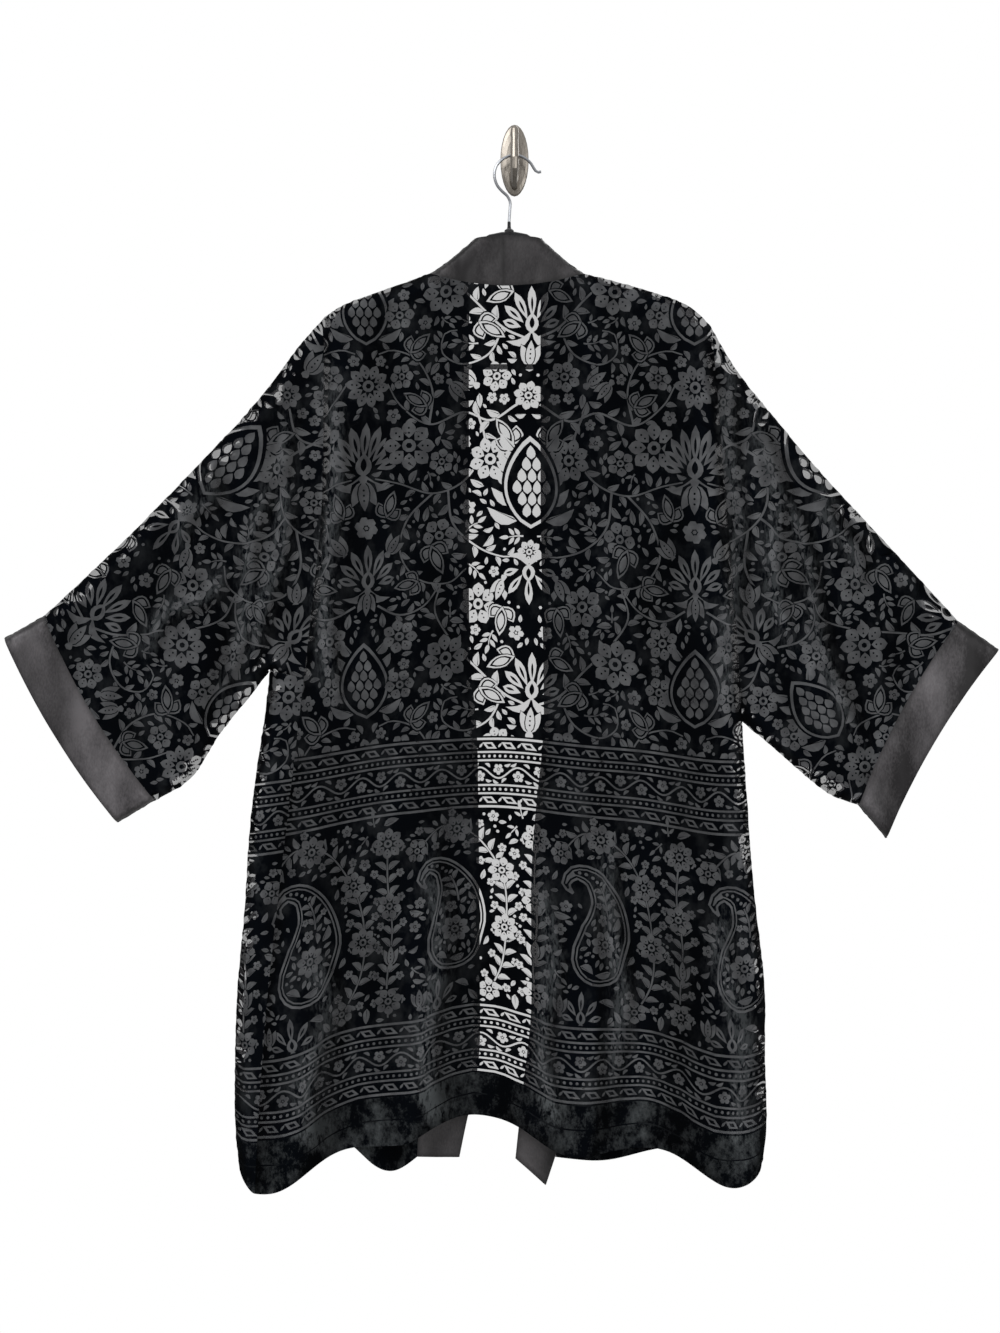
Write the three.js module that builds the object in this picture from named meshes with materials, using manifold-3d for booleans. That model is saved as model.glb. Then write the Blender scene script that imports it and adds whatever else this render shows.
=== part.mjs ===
// Open kimono robe of burnout velvet, with a satin neck band and satin cuffs, on a slim hanger that hangs
// from a wall hook. Millimetres, +Z up. The wall is the plane y = 0 and the robe's back faces -Y.
// The origin is the middle of the wall hook's flat back. Left and right are as seen from -Y.

import * as THREE from "three";
import Module from "manifold-3d";
import { mergeVertices } from "three/addons/utils/BufferGeometryUtils.js";

// Walls, gaps and depths
const VELVET_WALL = 1.5;
const SATIN_WALL = 2;
const SEAM_GAP = 0.34; // between neighbouring pieces of cloth
const MIDDLE_Y = -19.5; // plane of the hanger, the shoulder line and the side edges
const BACK_DEPTH = { top: 9.5, hem: 14 }; // from the middle plane to the back's outside
const FRONT_DEPTH = { top: 8, hem: 9.5 }; // from the middle plane to the fronts' outside
const SLEEVE_DEPTH = 9.5; // from the middle plane to either side of a sleeve
const SHOULDER_ROUND = 8; // drop in which the cloth rounds over the shoulder line
const SIDE_ROUND = 18; // width in which it rounds at a side edge
const SLEEVE_ROUND = 10; // width in which a sleeve rounds at its edges

// Neck
const TIP_LEFT_X = -99; // where the neck band's seam crosses the shoulder line
const TIP_RIGHT_X = 81;
const CENTRE_SEAM_X = -13; // centre back seam of the neck band
const NECK_DROP = 15; // how far the back neckline hangs below its ends
const COLLAR_TOP_Z = -92; // free edge of the band at the centre back
const COLLAR_CORNER_LEFT_X = -46; // where that edge turns over the shoulder line
const COLLAR_CORNER_RIGHT_X = 31;

// Underarms: where the armhole seams leave the side seams, and where they reach the side edge
const LEFT_UNDERARM = { seamX: -242, seamZ: -601, edgeX: -283, edgeZ: -592 };
const RIGHT_UNDERARM = { seamZ: -652, rise: 90 };

// Grid: rows run down from the shoulder line, columns across
const TOP_DROPS = [0, 1.5, 5, 11, 20]; // first rows, close together over the shoulder
const UNDERARM_RISES = [14, 5, 0]; // last rows down to the underarm, close together too
const UNDERARM_ROW = 14;
const LAST_ROW = 28;
const SHOULDER_COLUMNS = 7;
const NECK_STEPS = [0, 0.02, 0.08, 0.18, 0.4, 0.7, 1]; // from a band tip to the centre back seam
const WRAP_INSETS = [4, 15]; // columns this far from the left side edge
const BAND_COLUMNS = 3;
const SLEEVE_STEPS = 11;
const WRAP_SHARE = 0.09; // part of a sleeve's length level with the left front's wrap
const CUFF_STEPS = 2;

// Outlines, seen from -Y

// Shoulder line, over the hanger from armhole to armhole
const SHOULDER_LINE = [
  { x: -219, z: -185 },
  { x: -210, z: -177 },
  { x: -177, z: -163 },
  { x: -140, z: -150 },
  { x: -99, z: -135 },
  { x: -83, z: -126 },
  { x: -64, z: -110 },
  { x: -46, z: -95 },
  { x: -31, z: -90 },
  { x: -6, z: -86 },
  { x: 18, z: -90 },
  { x: 31, z: -95 },
  { x: 45, z: -107 },
  { x: 59, z: -121 },
  { x: 81, z: -135 },
  { x: 128, z: -147 },
  { x: 173, z: -161 },
  { x: 212, z: -177 },
  { x: 226, z: -196 },
];

// Left edge of the back: armhole seam, then side seam
const LEFT_SEAM = [
  { z: -185, x: -219 },
  { z: -396, x: -221 },
  { z: -500, x: -231 },
  { z: -592, x: -241 },
  { z: -727, x: -257 },
  { z: -868, x: -273 },
  { z: -983, x: -285 },
  { z: -1112, x: -294 },
  { z: -1192, x: -298 },
];

// Right edge of the back: armhole seam, then the robe's right side edge
const RIGHT_SEAM = [
  { z: -196, x: 226 },
  { z: -281, x: 234 },
  { z: -396, x: 243 },
  { z: -560, x: 256 },
  { z: -652, x: 262 },
  { z: -791, x: 271 },
  { z: -879, x: 279 },
  { z: -971, x: 289 },
  { z: -1028, x: 288 },
  { z: -1118, x: 291 },
  { z: -1153, x: 288 },
  { z: -1170, x: 283 },
];

// Left side edge of the robe, where the left front turns round to the back
const LEFT_EDGE = [
  { z: -592, x: -283 },
  { z: -624, x: -286 },
  { z: -732, x: -302 },
  { z: -793, x: -308 },
  { z: -868, x: -312 },
  { z: -980, x: -322 },
  { z: -1112, x: -324 },
  { z: -1145, x: -321 },
  { z: -1165, x: -318 },
];

// Seams between the fronts and the neck band
const BAND_SEAM_LEFT = [
  { z: -135, x: -99 },
  { z: -185, x: -115 },
  { z: -281, x: -119 },
  { z: -557, x: -118 },
  { z: -672, x: -111 },
  { z: -1040, x: -109 },
  { z: -1155, x: -113 },
];
const BAND_SEAM_RIGHT = [
  { z: -135, x: 81 },
  { z: -185, x: 93 },
  { z: -373, x: 95 },
  { z: -649, x: 96 },
  { z: -759, x: 89 },
  { z: -977, x: 84 },
  { z: -1055, x: 75 },
  { z: -1155, x: 47 },
];

// Free edges of the neck band, either side of the open front
const OPEN_EDGE_LEFT = [
  { z: -95, x: -46 },
  { z: -166, x: -53 },
  { z: -557, x: -53 },
  { z: -672, x: -43 },
  { z: -1040, x: -40 },
  { z: -1101, x: -53 },
  { z: -1156, x: -64 },
];
const OPEN_EDGE_RIGHT = [
  { z: -95, x: 31 },
  { z: -166, x: 30 },
  { z: -373, x: 30 },
  { z: -649, x: 34 },
  { z: -759, x: 24 },
  { z: -845, x: 19 },
  { z: -977, x: 20 },
  { z: -1055, x: 12 },
  { z: -1156, x: 1 },
];

// Hems
const BACK_HEM = [
  { x: -318, z: -1165 },
  { x: -310, z: -1184 },
  { x: -298, z: -1192 },
  { x: -276, z: -1193 },
  { x: -240, z: -1170 },
  { x: -214, z: -1150 },
  { x: -190, z: -1140 },
  { x: -115, z: -1134 },
  { x: -92, z: -1115 },
  { x: -53, z: -1101 },
  { x: 5, z: -1115 },
  { x: 30, z: -1141 },
  { x: 69, z: -1150 },
  { x: 120, z: -1142 },
  { x: 160, z: -1133 },
  { x: 180, z: -1143 },
  { x: 210, z: -1166 },
  { x: 246, z: -1187 },
  { x: 267, z: -1183 },
  { x: 283, z: -1170 },
];
const FRONT_HEM = [
  { x: -318, z: -1165 },
  { x: -293, z: -1178 },
  { x: -247, z: -1146 },
  { x: -205, z: -1129 },
  { x: -185, z: -1142 },
  { x: -170, z: -1165 },
  { x: -140, z: -1176 },
  { x: -122, z: -1172 },
  { x: -113, z: -1156 },
  { x: 47, z: -1155 },
  { x: 69, z: -1162 },
  { x: 101, z: -1164 },
  { x: 149, z: -1148 },
  { x: 175, z: -1140 },
  { x: 213, z: -1144 },
  { x: 248, z: -1161 },
  { x: 283, z: -1170 },
];
const BAND_END_LEFT = { openZ: -1156 };
const BAND_END_RIGHT = { openZ: -1156, tail: { seamX: 36, seamZ: -1188, openX: 1, openZ: -1157.5 } };
const BAND_TAIL_START_Z = -1136; // open edge of the right band level with the front's hem

// Folds. A positive out stands away from the middle plane, a negative one is a trough.

// Waves along the back's hem, which fade out upwards
const BACK_WAVES = [
  { x: -324, out: 0 },
  { x: -285, out: 6 },
  { x: -256, out: 9 },
  { x: -226, out: -2 },
  { x: -202, out: -6 },
  { x: -165, out: 2 },
  { x: -122, out: 8 },
  { x: -100, out: 4 },
  { x: -80, out: -8 },
  { x: -30, out: -10 },
  { x: 12, out: -7 },
  { x: 33, out: 4 },
  { x: 62, out: 9 },
  { x: 92, out: 5 },
  { x: 108, out: -3 },
  { x: 132, out: 4 },
  { x: 158, out: 2 },
  { x: 180, out: -6 },
  { x: 205, out: -2 },
  { x: 238, out: 9 },
  { x: 266, out: 7 },
  { x: 291, out: 0 },
];
const FRONT_WAVES = [
  { x: -324, out: 0 },
  { x: -250, out: -2 },
  { x: -200, out: 3 },
  { x: -178, out: 4 },
  { x: -145, out: -3 },
  { x: -117, out: 2 },
  { x: -45, out: -1 },
  { x: 0, out: 1 },
  { x: 35, out: -1 },
  { x: 75, out: -3 },
  { x: 110, out: 2 },
  { x: 150, out: -2 },
  { x: 200, out: 3 },
  { x: 250, out: -2 },
  { x: 291, out: 0 },
];
const WAVES_START_Z = -640;
const WAVES_FULL_Z = -1110;

// Creases, each along a straight line from one point to another
const BACK_CREASES = [
  { fromX: -197, fromZ: -235, toX: -222, toZ: -590, width: 16, out: 5 },
  { fromX: -220, fromZ: -240, toX: -238, toZ: -540, width: 9, out: -4 },
  { fromX: 211, fromZ: -260, toX: 240, toZ: -640, width: 16, out: 5 },
  { fromX: 232, fromZ: -260, toX: 257, toZ: -560, width: 9, out: -3 },
  { fromX: -150, fromZ: -200, toX: -186, toZ: -430, width: 22, out: -2.5 },
  { fromX: 150, fromZ: -210, toX: 196, toZ: -440, width: 22, out: -2.5 },
  { fromX: -89, fromZ: -790, toX: -93, toZ: -1060, width: 12, out: 4 },
  { fromX: 34, fromZ: -760, toX: 36, toZ: -1060, width: 12, out: 4 },
  { fromX: 96, fromZ: -900, toX: 108, toZ: -1060, width: 10, out: -3 },
  { fromX: -208, fromZ: -980, toX: -236, toZ: -1120, width: 14, out: -4 },
  { fromX: -255, fromZ: -700, toX: -276, toZ: -1000, width: 12, out: -3 },
];
const LEFT_SLEEVE_CREASES = [
  { fromX: -262, fromZ: -310, toX: -316, toZ: -488, width: 15, out: -5 },
  { fromX: -316, fromZ: -488, toX: -350, toZ: -640, width: 15, out: -6 },
  { fromX: -288, fromZ: -430, toX: -312, toZ: -570, width: 15, out: 4 },
  { fromX: -345, fromZ: -364, toX: -404, toZ: -470, width: 13, out: -4 },
  { fromX: -404, fromZ: -470, toX: -440, toZ: -600, width: 15, out: -2.5 },
  { fromX: -250, fromZ: -420, toX: -262, toZ: -540, width: 13, out: 4 },
];
const RIGHT_SLEEVE_CREASES = [
  { fromX: 288, fromZ: -345, toX: 336, toZ: -483, width: 15, out: -5 },
  { fromX: 336, fromZ: -483, toX: 382, toZ: -615, width: 15, out: -6 },
  { fromX: 382, fromZ: -615, toX: 408, toZ: -715, width: 14, out: -5 },
  { fromX: 300, fromZ: -480, toX: 344, toZ: -620, width: 18, out: 4 },
  { fromX: 400, fromZ: -470, toX: 440, toZ: -600, width: 16, out: -3 },
  { fromX: 268, fromZ: -330, toX: 284, toZ: -560, width: 14, out: 4 },
];
const FRONT_SIDE_SHARE = 0.6; // how much of a sleeve's creases its wall side has

// Sleeves: the top edge, the edge below, the cuff seam and the cuff's edge
const LEFT_SLEEVE = {
  top: [
    { x: -219, z: -185 },
    { x: -257, z: -228 },
    { x: -292, z: -278 },
    { x: -362, z: -352 },
    { x: -444, z: -437 },
    { x: -542, z: -529 },
  ],
  below: [
    { x: -283, z: -592 },
    { x: -317, z: -637 },
    { x: -345, z: -672 },
    { x: -373, z: -719 },
    { x: -414, z: -742 },
  ],
  cuffTop: { x: -588, z: -555 },
  cuffBelow: { x: -457, z: -768 },
  seamBow: 10, // how far the cuff seam bows out, away from the robe
  edgeBow: 9,
  creases: LEFT_SLEEVE_CREASES,
};
const RIGHT_SLEEVE = {
  top: [
    { x: 226, z: -196 },
    { x: 255, z: -247 },
    { x: 282, z: -280 },
    { x: 351, z: -362 },
    { x: 426, z: -443 },
    { x: 511, z: -535 },
  ],
  below: [
    { x: 262, z: -652 },
    { x: 289, z: -674 },
    { x: 334, z: -713 },
    { x: 367, z: -738 },
    { x: 396, z: -748 },
  ],
  cuffTop: { x: 558, z: -568 },
  cuffBelow: { x: 428, z: -786 },
  seamBow: -9,
  edgeBow: -10,
  creases: RIGHT_SLEEVE_CREASES,
};

// Hanger and wall hook
const HANGER = {
  thick: 5, bevel: 1.2, below: 4, leftEnd: -204, rightEnd: 203, armHeight: 12, barTop: -239, barFoot: -245,
};
const WIRE_RADIUS = 1.65;
const WIRE_ROUTE = [
  { x: -6.4, z: -74.6 },
  { x: -5.6, z: -62 },
  { x: -5.2, z: -52 },
  { x: -8.5, z: -45 },
  { x: -14, z: -40 },
  { x: -20.5, z: -32 },
  { x: -23.4, z: -21 },
  { x: -21, z: -10 },
  { x: -12.5, z: -1.5 },
  { x: 0, z: 2.4 },
  { x: 11, z: -0.8 },
  { x: 18.5, z: -7 },
  { x: 22.5, z: -13.5 },
  { x: 26, z: -17.4 },
  { x: 30.5, z: -17 },
];
const HANGER_COLLAR = [
  { radius: 0, z: -85.8 },
  { radius: 5.6, z: -85.8 },
  { radius: 5.4, z: -84.8 },
  { radius: 4.2, z: -83.6 },
  { radius: 2.4, z: -82.8 },
  { radius: 2, z: -80 },
  { radius: 1.9, z: -75 },
  { radius: 0, z: -75 },
];
const PLATE = { halfWidth: 16.4, halfHeight: 41.6, rim: 1.4, thick: 4.6 };
// Sections of the hook's arm, which leaves the plate low down and turns up in front of the wire
const ARM_SECTIONS = [
  { y: -2, z: -19, halfWide: 6.6, halfThick: 16.5, pitch: 0 },
  { y: -8, z: -18.5, halfWide: 5.8, halfThick: 16, pitch: 0 },
  { y: -14, z: -16.6, halfWide: 5.2, halfThick: 16, pitch: 4 },
  { y: -19.5, z: -13.8, halfWide: 5, halfThick: 14, pitch: 12 },
  { y: -25, z: -8.5, halfWide: 5, halfThick: 9.5, pitch: 42 },
  { y: -27, z: -1, halfWide: 5, halfThick: 5.6, pitch: 78 },
  { y: -26.8, z: 8, halfWide: 4.7, halfThick: 4.3, pitch: 92 },
  { y: -25.9, z: 18, halfWide: 4.2, halfThick: 3.7, pitch: 96 },
  { y: -25, z: 27, halfWide: 4.9, halfThick: 3.6, pitch: 94 },
  { y: -24.7, z: 32, halfWide: 4.3, halfThick: 3, pitch: 90 },
  { y: -24.7, z: 35, halfWide: 2.2, halfThick: 1.6, pitch: 90 },
];
const ARM_SIDES = 12;

// Materials
const velvet = new THREE.MeshStandardMaterial({ color: 0x101216, roughness: 0.95, metalness: 0 });
const satin = new THREE.MeshStandardMaterial({ color: 0x474345, roughness: 0.42, metalness: 0 });
const flock = new THREE.MeshStandardMaterial({ color: 0x0d0d0f, roughness: 0.9, metalness: 0 });
const chrome = new THREE.MeshStandardMaterial({ color: 0xc9cdd2, roughness: 0.15, metalness: 1 });
const nickel = new THREE.MeshStandardMaterial({ color: 0xb8b0a5, roughness: 0.3, metalness: 1 });

// Helpers

const clamp = (value, low, high) => Math.min(Math.max(value, low), high);
const mix = (a, b, part) => a + (b - a) * part;

function ease(from, to, value) {
  const part = clamp((value - from) / (to - from), 0, 1);
  return part * part * (3 - 2 * part);
}

/** A quarter round: 0 at the edge, 1 from the reach on. */
function roundOff(distance, reach) {
  const left = 1 - clamp(distance / reach, 0, 1);
  return Math.sqrt(1 - left * left);
}

/** A smooth curve of one column of a table against another. It holds its end values outside the table. */
function track(rows, key, column) {
  const at = rows.map((row) => row[key]);
  const out = rows.map((row) => row[column]);
  const last = at.length - 1;
  const slope = (i) => (out[i + 1] - out[i]) / (at[i + 1] - at[i]);
  const bend = (i) => {
    if (i === 0) return slope(0);
    if (i === last) return slope(last - 1);
    const before = slope(i - 1);
    const after = slope(i);
    return before * after > 0 ? (2 * before * after) / (before + after) : 0;
  };
  const rising = at[last] > at[0];
  return (value) => {
    const ahead = at.findIndex((stop) => (rising ? stop >= value : stop <= value));
    if (ahead === 0) return out[0];
    if (ahead < 0) return out[last];
    const i = ahead - 1;
    const span = at[i + 1] - at[i];
    const t = (value - at[i]) / span;
    const s = 1 - t;
    return (
      out[i] * s * s * (1 + 2 * t) +
      out[i + 1] * t * t * (3 - 2 * t) +
      span * (bend(i) * t * s * s - bend(i + 1) * t * t * s)
    );
  };
}

/** A route through a table of places, by its share of the length. */
function route(rows) {
  let length = 0;
  const stops = rows.map((row, i) => {
    if (i > 0) length += Math.hypot(row.x - rows[i - 1].x, row.z - rows[i - 1].z);
    return { ...row, along: length };
  });
  const x = track(stops, "along", "x");
  const z = track(stops, "along", "z");
  return (part) => ({ x: x(part * length), z: z(part * length) });
}

const shoulderZ = track(SHOULDER_LINE, "x", "z");
const leftSeamX = track(LEFT_SEAM, "z", "x");
const rightSeamX = track(RIGHT_SEAM, "z", "x");
const leftEdgeX = track(LEFT_EDGE, "z", "x");
const bandSeamLeftX = track(BAND_SEAM_LEFT, "z", "x");
const bandSeamRightX = track(BAND_SEAM_RIGHT, "z", "x");
const openEdgeLeftX = track(OPEN_EDGE_LEFT, "z", "x");
const openEdgeRightX = track(OPEN_EDGE_RIGHT, "z", "x");
const backHemZ = track(BACK_HEM, "x", "z");
const frontHemZ = track(FRONT_HEM, "x", "z");
const backWave = track(BACK_WAVES, "x", "out");
const frontWave = track(FRONT_WAVES, "x", "out");

// Depth of the robe's two sides

/** How far the creases of a table stand out at a place: the deepest trough there plus the highest ridge. */
function creasesAt(creases, x, z) {
  let [trough, ridge] = [0, 0];
  for (const fold of creases) {
    const alongX = fold.toX - fold.fromX;
    const alongZ = fold.toZ - fold.fromZ;
    const part = clamp(
      ((x - fold.fromX) * alongX + (z - fold.fromZ) * alongZ) / (alongX ** 2 + alongZ ** 2), 0, 1);
    const away = Math.hypot(x - fold.fromX - part * alongX, z - fold.fromZ - part * alongZ);
    const out = fold.out * Math.exp(-((away / fold.width) ** 2));
    trough = Math.min(trough, out);
    ridge = Math.max(ridge, out);
  }
  return trough + ridge;
}

/** 1 in the middle of the cloth, 0 at the shoulder line and at the side edges. */
function fullness(x, z) {
  const shoulder = roundOff(shoulderZ(x) - z, SHOULDER_ROUND);
  const left = roundOff(x - leftEdgeX(z), SIDE_ROUND);
  const closing = 1 - roundOff(z - RIGHT_UNDERARM.seamZ, RIGHT_UNDERARM.rise);
  const right = mix(1, roundOff(rightSeamX(z) - x, SIDE_ROUND), closing);
  return shoulder * left * right;
}

const lowering = (z) => ease(-250, -1000, z);
const waveShare = (z) => ease(WAVES_START_Z, WAVES_FULL_Z, z);

function backY(x, z) {
  const depth = mix(BACK_DEPTH.top, BACK_DEPTH.hem, lowering(z));
  const folds = creasesAt(BACK_CREASES, x, z) + backWave(x) * waveShare(z);
  return MIDDLE_Y - (depth + folds) * fullness(x, z);
}

function frontY(x, z) {
  const depth = mix(FRONT_DEPTH.top, FRONT_DEPTH.hem, lowering(z));
  return MIDDLE_Y + (depth + frontWave(x) * waveShare(z)) * fullness(x, z);
}

const onBack = (x, z) => new THREE.Vector3(x, backY(x, z), z);
const onFront = (x, z) => new THREE.Vector3(x, frontY(x, z), z);

// Rows

/** Heights of the rows of a column, from its top through the underarm's level to its hem. */
function rowHeights(top, underarm, hem) {
  const near = TOP_DROPS.length - 1;
  const far = UNDERARM_ROW - UNDERARM_RISES.length + 1;
  const heights = TOP_DROPS.map((drop) => top - drop);
  for (let row = near + 1; row < far; row += 1) {
    heights.push(mix(heights[near], underarm + UNDERARM_RISES[0], (row - near) / (far - near)));
  }
  UNDERARM_RISES.forEach((rise) => heights.push(underarm + rise));
  for (let row = UNDERARM_ROW + 1; row <= LAST_ROW; row += 1) {
    heights.push(mix(underarm, hem, (row - UNDERARM_ROW) / (LAST_ROW - UNDERARM_ROW)));
  }
  return heights;
}

const rowNumbers = Array.from({ length: LAST_ROW + 1 }, (_, row) => row);

/** Moves columns towards the right side edge, where it is round, below the armhole. */
function crowded(part, row) {
  const power = mix(1, 1.8, ease(UNDERARM_ROW - 5, UNDERARM_ROW, row));
  return 1 - (1 - part) ** power;
}

// Back: one piece from armhole to armhole

/** Places of the back's columns along its top edge, as named parts of that edge. */
function backColumns() {
  const columns = [];
  const left = SHOULDER_LINE[0].x;
  const right = SHOULDER_LINE[SHOULDER_LINE.length - 1].x;
  for (let i = 0; i < SHOULDER_COLUMNS; i += 1) {
    columns.push({ x: mix(left, TIP_LEFT_X, i / SHOULDER_COLUMNS) });
  }
  NECK_STEPS.forEach((step) => columns.push({ x: mix(TIP_LEFT_X, CENTRE_SEAM_X, step), neck: true }));
  NECK_STEPS.slice(0, -1).reverse()
    .forEach((step) => columns.push({ x: mix(TIP_RIGHT_X, CENTRE_SEAM_X, step), neck: true }));
  for (let i = 1; i <= SHOULDER_COLUMNS; i += 1) {
    columns.push({ x: mix(TIP_RIGHT_X, right, i / SHOULDER_COLUMNS), crowd: i / SHOULDER_COLUMNS });
  }
  return columns;
}

function necklineZ(x) {
  const middle = (TIP_LEFT_X + TIP_RIGHT_X) / 2;
  const half = (TIP_RIGHT_X - TIP_LEFT_X) / 2;
  return shoulderZ(TIP_LEFT_X) - NECK_DROP * (1 - ((x - middle) / half) ** 2);
}

function backGrid() {
  const columns = backColumns();
  const left = columns[0].x;
  const right = columns[columns.length - 1].x;
  const tip = (TIP_RIGHT_X - left) / (right - left);
  const share = (column, row) => {
    const even = (column.x - left) / (right - left);
    return column.crowd ? mix(tip, 1, crowded(column.crowd, row)) : even;
  };
  const hemLeft = LEFT_SEAM[LEFT_SEAM.length - 1];
  const hemRight = RIGHT_SEAM[RIGHT_SEAM.length - 1];
  const heights = columns.map((column) => {
    const top = column.neck ? necklineZ(column.x) : shoulderZ(column.x);
    const across = share(column, LAST_ROW);
    const underarm = mix(LEFT_UNDERARM.seamZ, RIGHT_UNDERARM.seamZ, across);
    return rowHeights(top, underarm, backHemZ(mix(hemLeft.x, hemRight.x, across)));
  });
  return rowNumbers.map((row) => {
    const from = leftSeamX(heights[0][row]);
    const to = rightSeamX(heights[columns.length - 1][row]);
    return columns.map((column, i) => onBack(mix(from, to, share(column, row)), heights[i][row]));
  });
}

// Fronts

/** Left front: on the wall side from the band to the side edge, then round it to the side seam. */
function frontLeftGrid() {
  const seamHeights = rowHeights(
    shoulderZ(TIP_LEFT_X), LEFT_UNDERARM.seamZ, frontHemZ(BAND_SEAM_LEFT[BAND_SEAM_LEFT.length - 1].x));
  const sideHeights = rowHeights(SHOULDER_LINE[0].z, LEFT_UNDERARM.seamZ, backHemZ(LEFT_SEAM.at(-1).x));
  const wraps = [...WRAP_INSETS].reverse();
  const places = [
    ...wraps.map((inset) => ({ inset, put: onFront, hem: frontHemZ })),
    { inset: 0, put: onFront, hem: frontHemZ },
    ...WRAP_INSETS.map((inset) => ({ inset, put: onBack, hem: backHemZ })),
  ];
  const hemEdge = LEFT_EDGE.at(-1);
  return rowNumbers.map((row) => {
    const seamX = bandSeamLeftX(seamHeights[row]);
    const sideX = leftSeamX(sideHeights[row]);
    const points = [];
    for (let i = 0; i <= SHOULDER_COLUMNS; i += 1) {
      const part = i / SHOULDER_COLUMNS;
      const topX = mix(TIP_LEFT_X, SHOULDER_LINE[0].x, part);
      const hem = frontHemZ(mix(BAND_SEAM_LEFT.at(-1).x, LEFT_SEAM.at(-1).x, part));
      const height = rowHeights(shoulderZ(topX), LEFT_UNDERARM.seamZ, hem)[row];
      points.push(onFront(mix(seamX, sideX, part), height));
    }
    for (const place of places) {
      const toSeam = place.inset / (LEFT_UNDERARM.seamX - LEFT_UNDERARM.edgeX);
      const underarm = mix(LEFT_UNDERARM.edgeZ, LEFT_UNDERARM.seamZ, toSeam);
      const height = rowHeights(0, underarm, place.hem(hemEdge.x + place.inset))[row];
      points.push(place.put(leftEdgeX(height) + place.inset, height));
    }
    points.push(onBack(sideX, sideHeights[row]));
    return points;
  });
}

/** Right front: from the right side edge to the band. */
function frontRightGrid() {
  const seamHeights = rowHeights(
    shoulderZ(TIP_RIGHT_X), RIGHT_UNDERARM.seamZ, frontHemZ(BAND_SEAM_RIGHT.at(-1).x));
  const sideTop = SHOULDER_LINE.at(-1);
  const sideHeights = rowHeights(sideTop.z, RIGHT_UNDERARM.seamZ, backHemZ(RIGHT_SEAM.at(-1).x));
  return rowNumbers.map((row) => {
    const seamX = bandSeamRightX(seamHeights[row]);
    const sideX = rightSeamX(sideHeights[row]);
    const points = [];
    for (let i = SHOULDER_COLUMNS; i >= 0; i -= 1) {
      const part = i / SHOULDER_COLUMNS;
      const topX = mix(TIP_RIGHT_X, sideTop.x, part);
      const hem = frontHemZ(mix(BAND_SEAM_RIGHT.at(-1).x, RIGHT_SEAM.at(-1).x, crowded(part, LAST_ROW)));
      const height = rowHeights(shoulderZ(topX), RIGHT_UNDERARM.seamZ, hem)[row];
      points.push(onFront(mix(seamX, sideX, crowded(part, row)), height));
    }
    return points;
  });
}

// Neck band: each half runs from the centre back over the shoulder and down its front edge

/** Rows run across the band, from its seam to its free edge, and columns along it. */
function bandGrid(neckSeam, frontSeam, corner, openEdgeX, endZ, underarmZ, tail) {
  const tip = neckSeam.at(-1);
  const openHeights = rowHeights(shoulderZ(corner), underarmZ, tail ? BAND_TAIL_START_Z : endZ);
  const stations = neckSeam.map((seam, i) => {
    const x = mix(CENTRE_SEAM_X, corner, 1 - NECK_STEPS[NECK_STEPS.length - 1 - i]);
    const middle = (COLLAR_CORNER_LEFT_X + COLLAR_CORNER_RIGHT_X) / 2;
    const half = (COLLAR_CORNER_RIGHT_X - COLLAR_CORNER_LEFT_X) / 2;
    const sag = (shoulderZ(corner) - COLLAR_TOP_Z) * ((x - middle) / half) ** 2;
    return { seam, open: { x, z: COLLAR_TOP_Z + sag }, put: onBack };
  });
  frontSeam.slice(1).forEach((seam, i) => {
    const z = openHeights[i + 1];
    stations.push({ seam, open: { x: openEdgeX(z), z }, put: onFront });
  });
  if (tail) {
    stations.push({
      seam: { x: tail.seamX, z: tail.seamZ }, open: { x: tail.openX, z: tail.openZ }, put: onFront });
  }
  const grid = [];
  for (let i = 0; i <= BAND_COLUMNS; i += 1) {
    const part = i / BAND_COLUMNS;
    const ridgeX = mix(tip.x, corner, part);
    const bow = shoulderZ(ridgeX) - mix(tip.z, shoulderZ(corner), part);
    grid.push(stations.map((station) => {
      if (i === 0 && station.seam.isVector3) return station.seam.clone();
      const x = mix(station.seam.x, station.open.x, part);
      const z = mix(station.seam.z, station.open.z, part);
      const away = Math.hypot(x - ridgeX, z - shoulderZ(ridgeX));
      const place = station.put(x, z + bow * (1 - clamp(away / 60, 0, 1)));
      if (station.put === onBack && away > 0.1) {
        const stood = roundOff(Math.abs(station.open.x - corner) * part, SHOULDER_ROUND);
        place.y = Math.min(place.y, MIDDLE_Y - BACK_DEPTH.top * stood);
      }
      return place;
    }));
  }
  return grid;
}

// Sleeves and cuffs

/** A line between two places that bows sideways: out, away from the robe, where bow is positive. */
function bowed(top, below, bow, part) {
  const length = Math.hypot(below.x - top.x, below.z - top.z);
  const outX = Math.sign(top.x) * Math.abs(below.z - top.z) / length;
  const outZ = -Math.abs(below.x - top.x) / length;
  const by = bow * 4 * part * (1 - part);
  return { x: mix(top.x, below.x, part) + outX * by, z: mix(top.z, below.z, part) + outZ * by };
}

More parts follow.
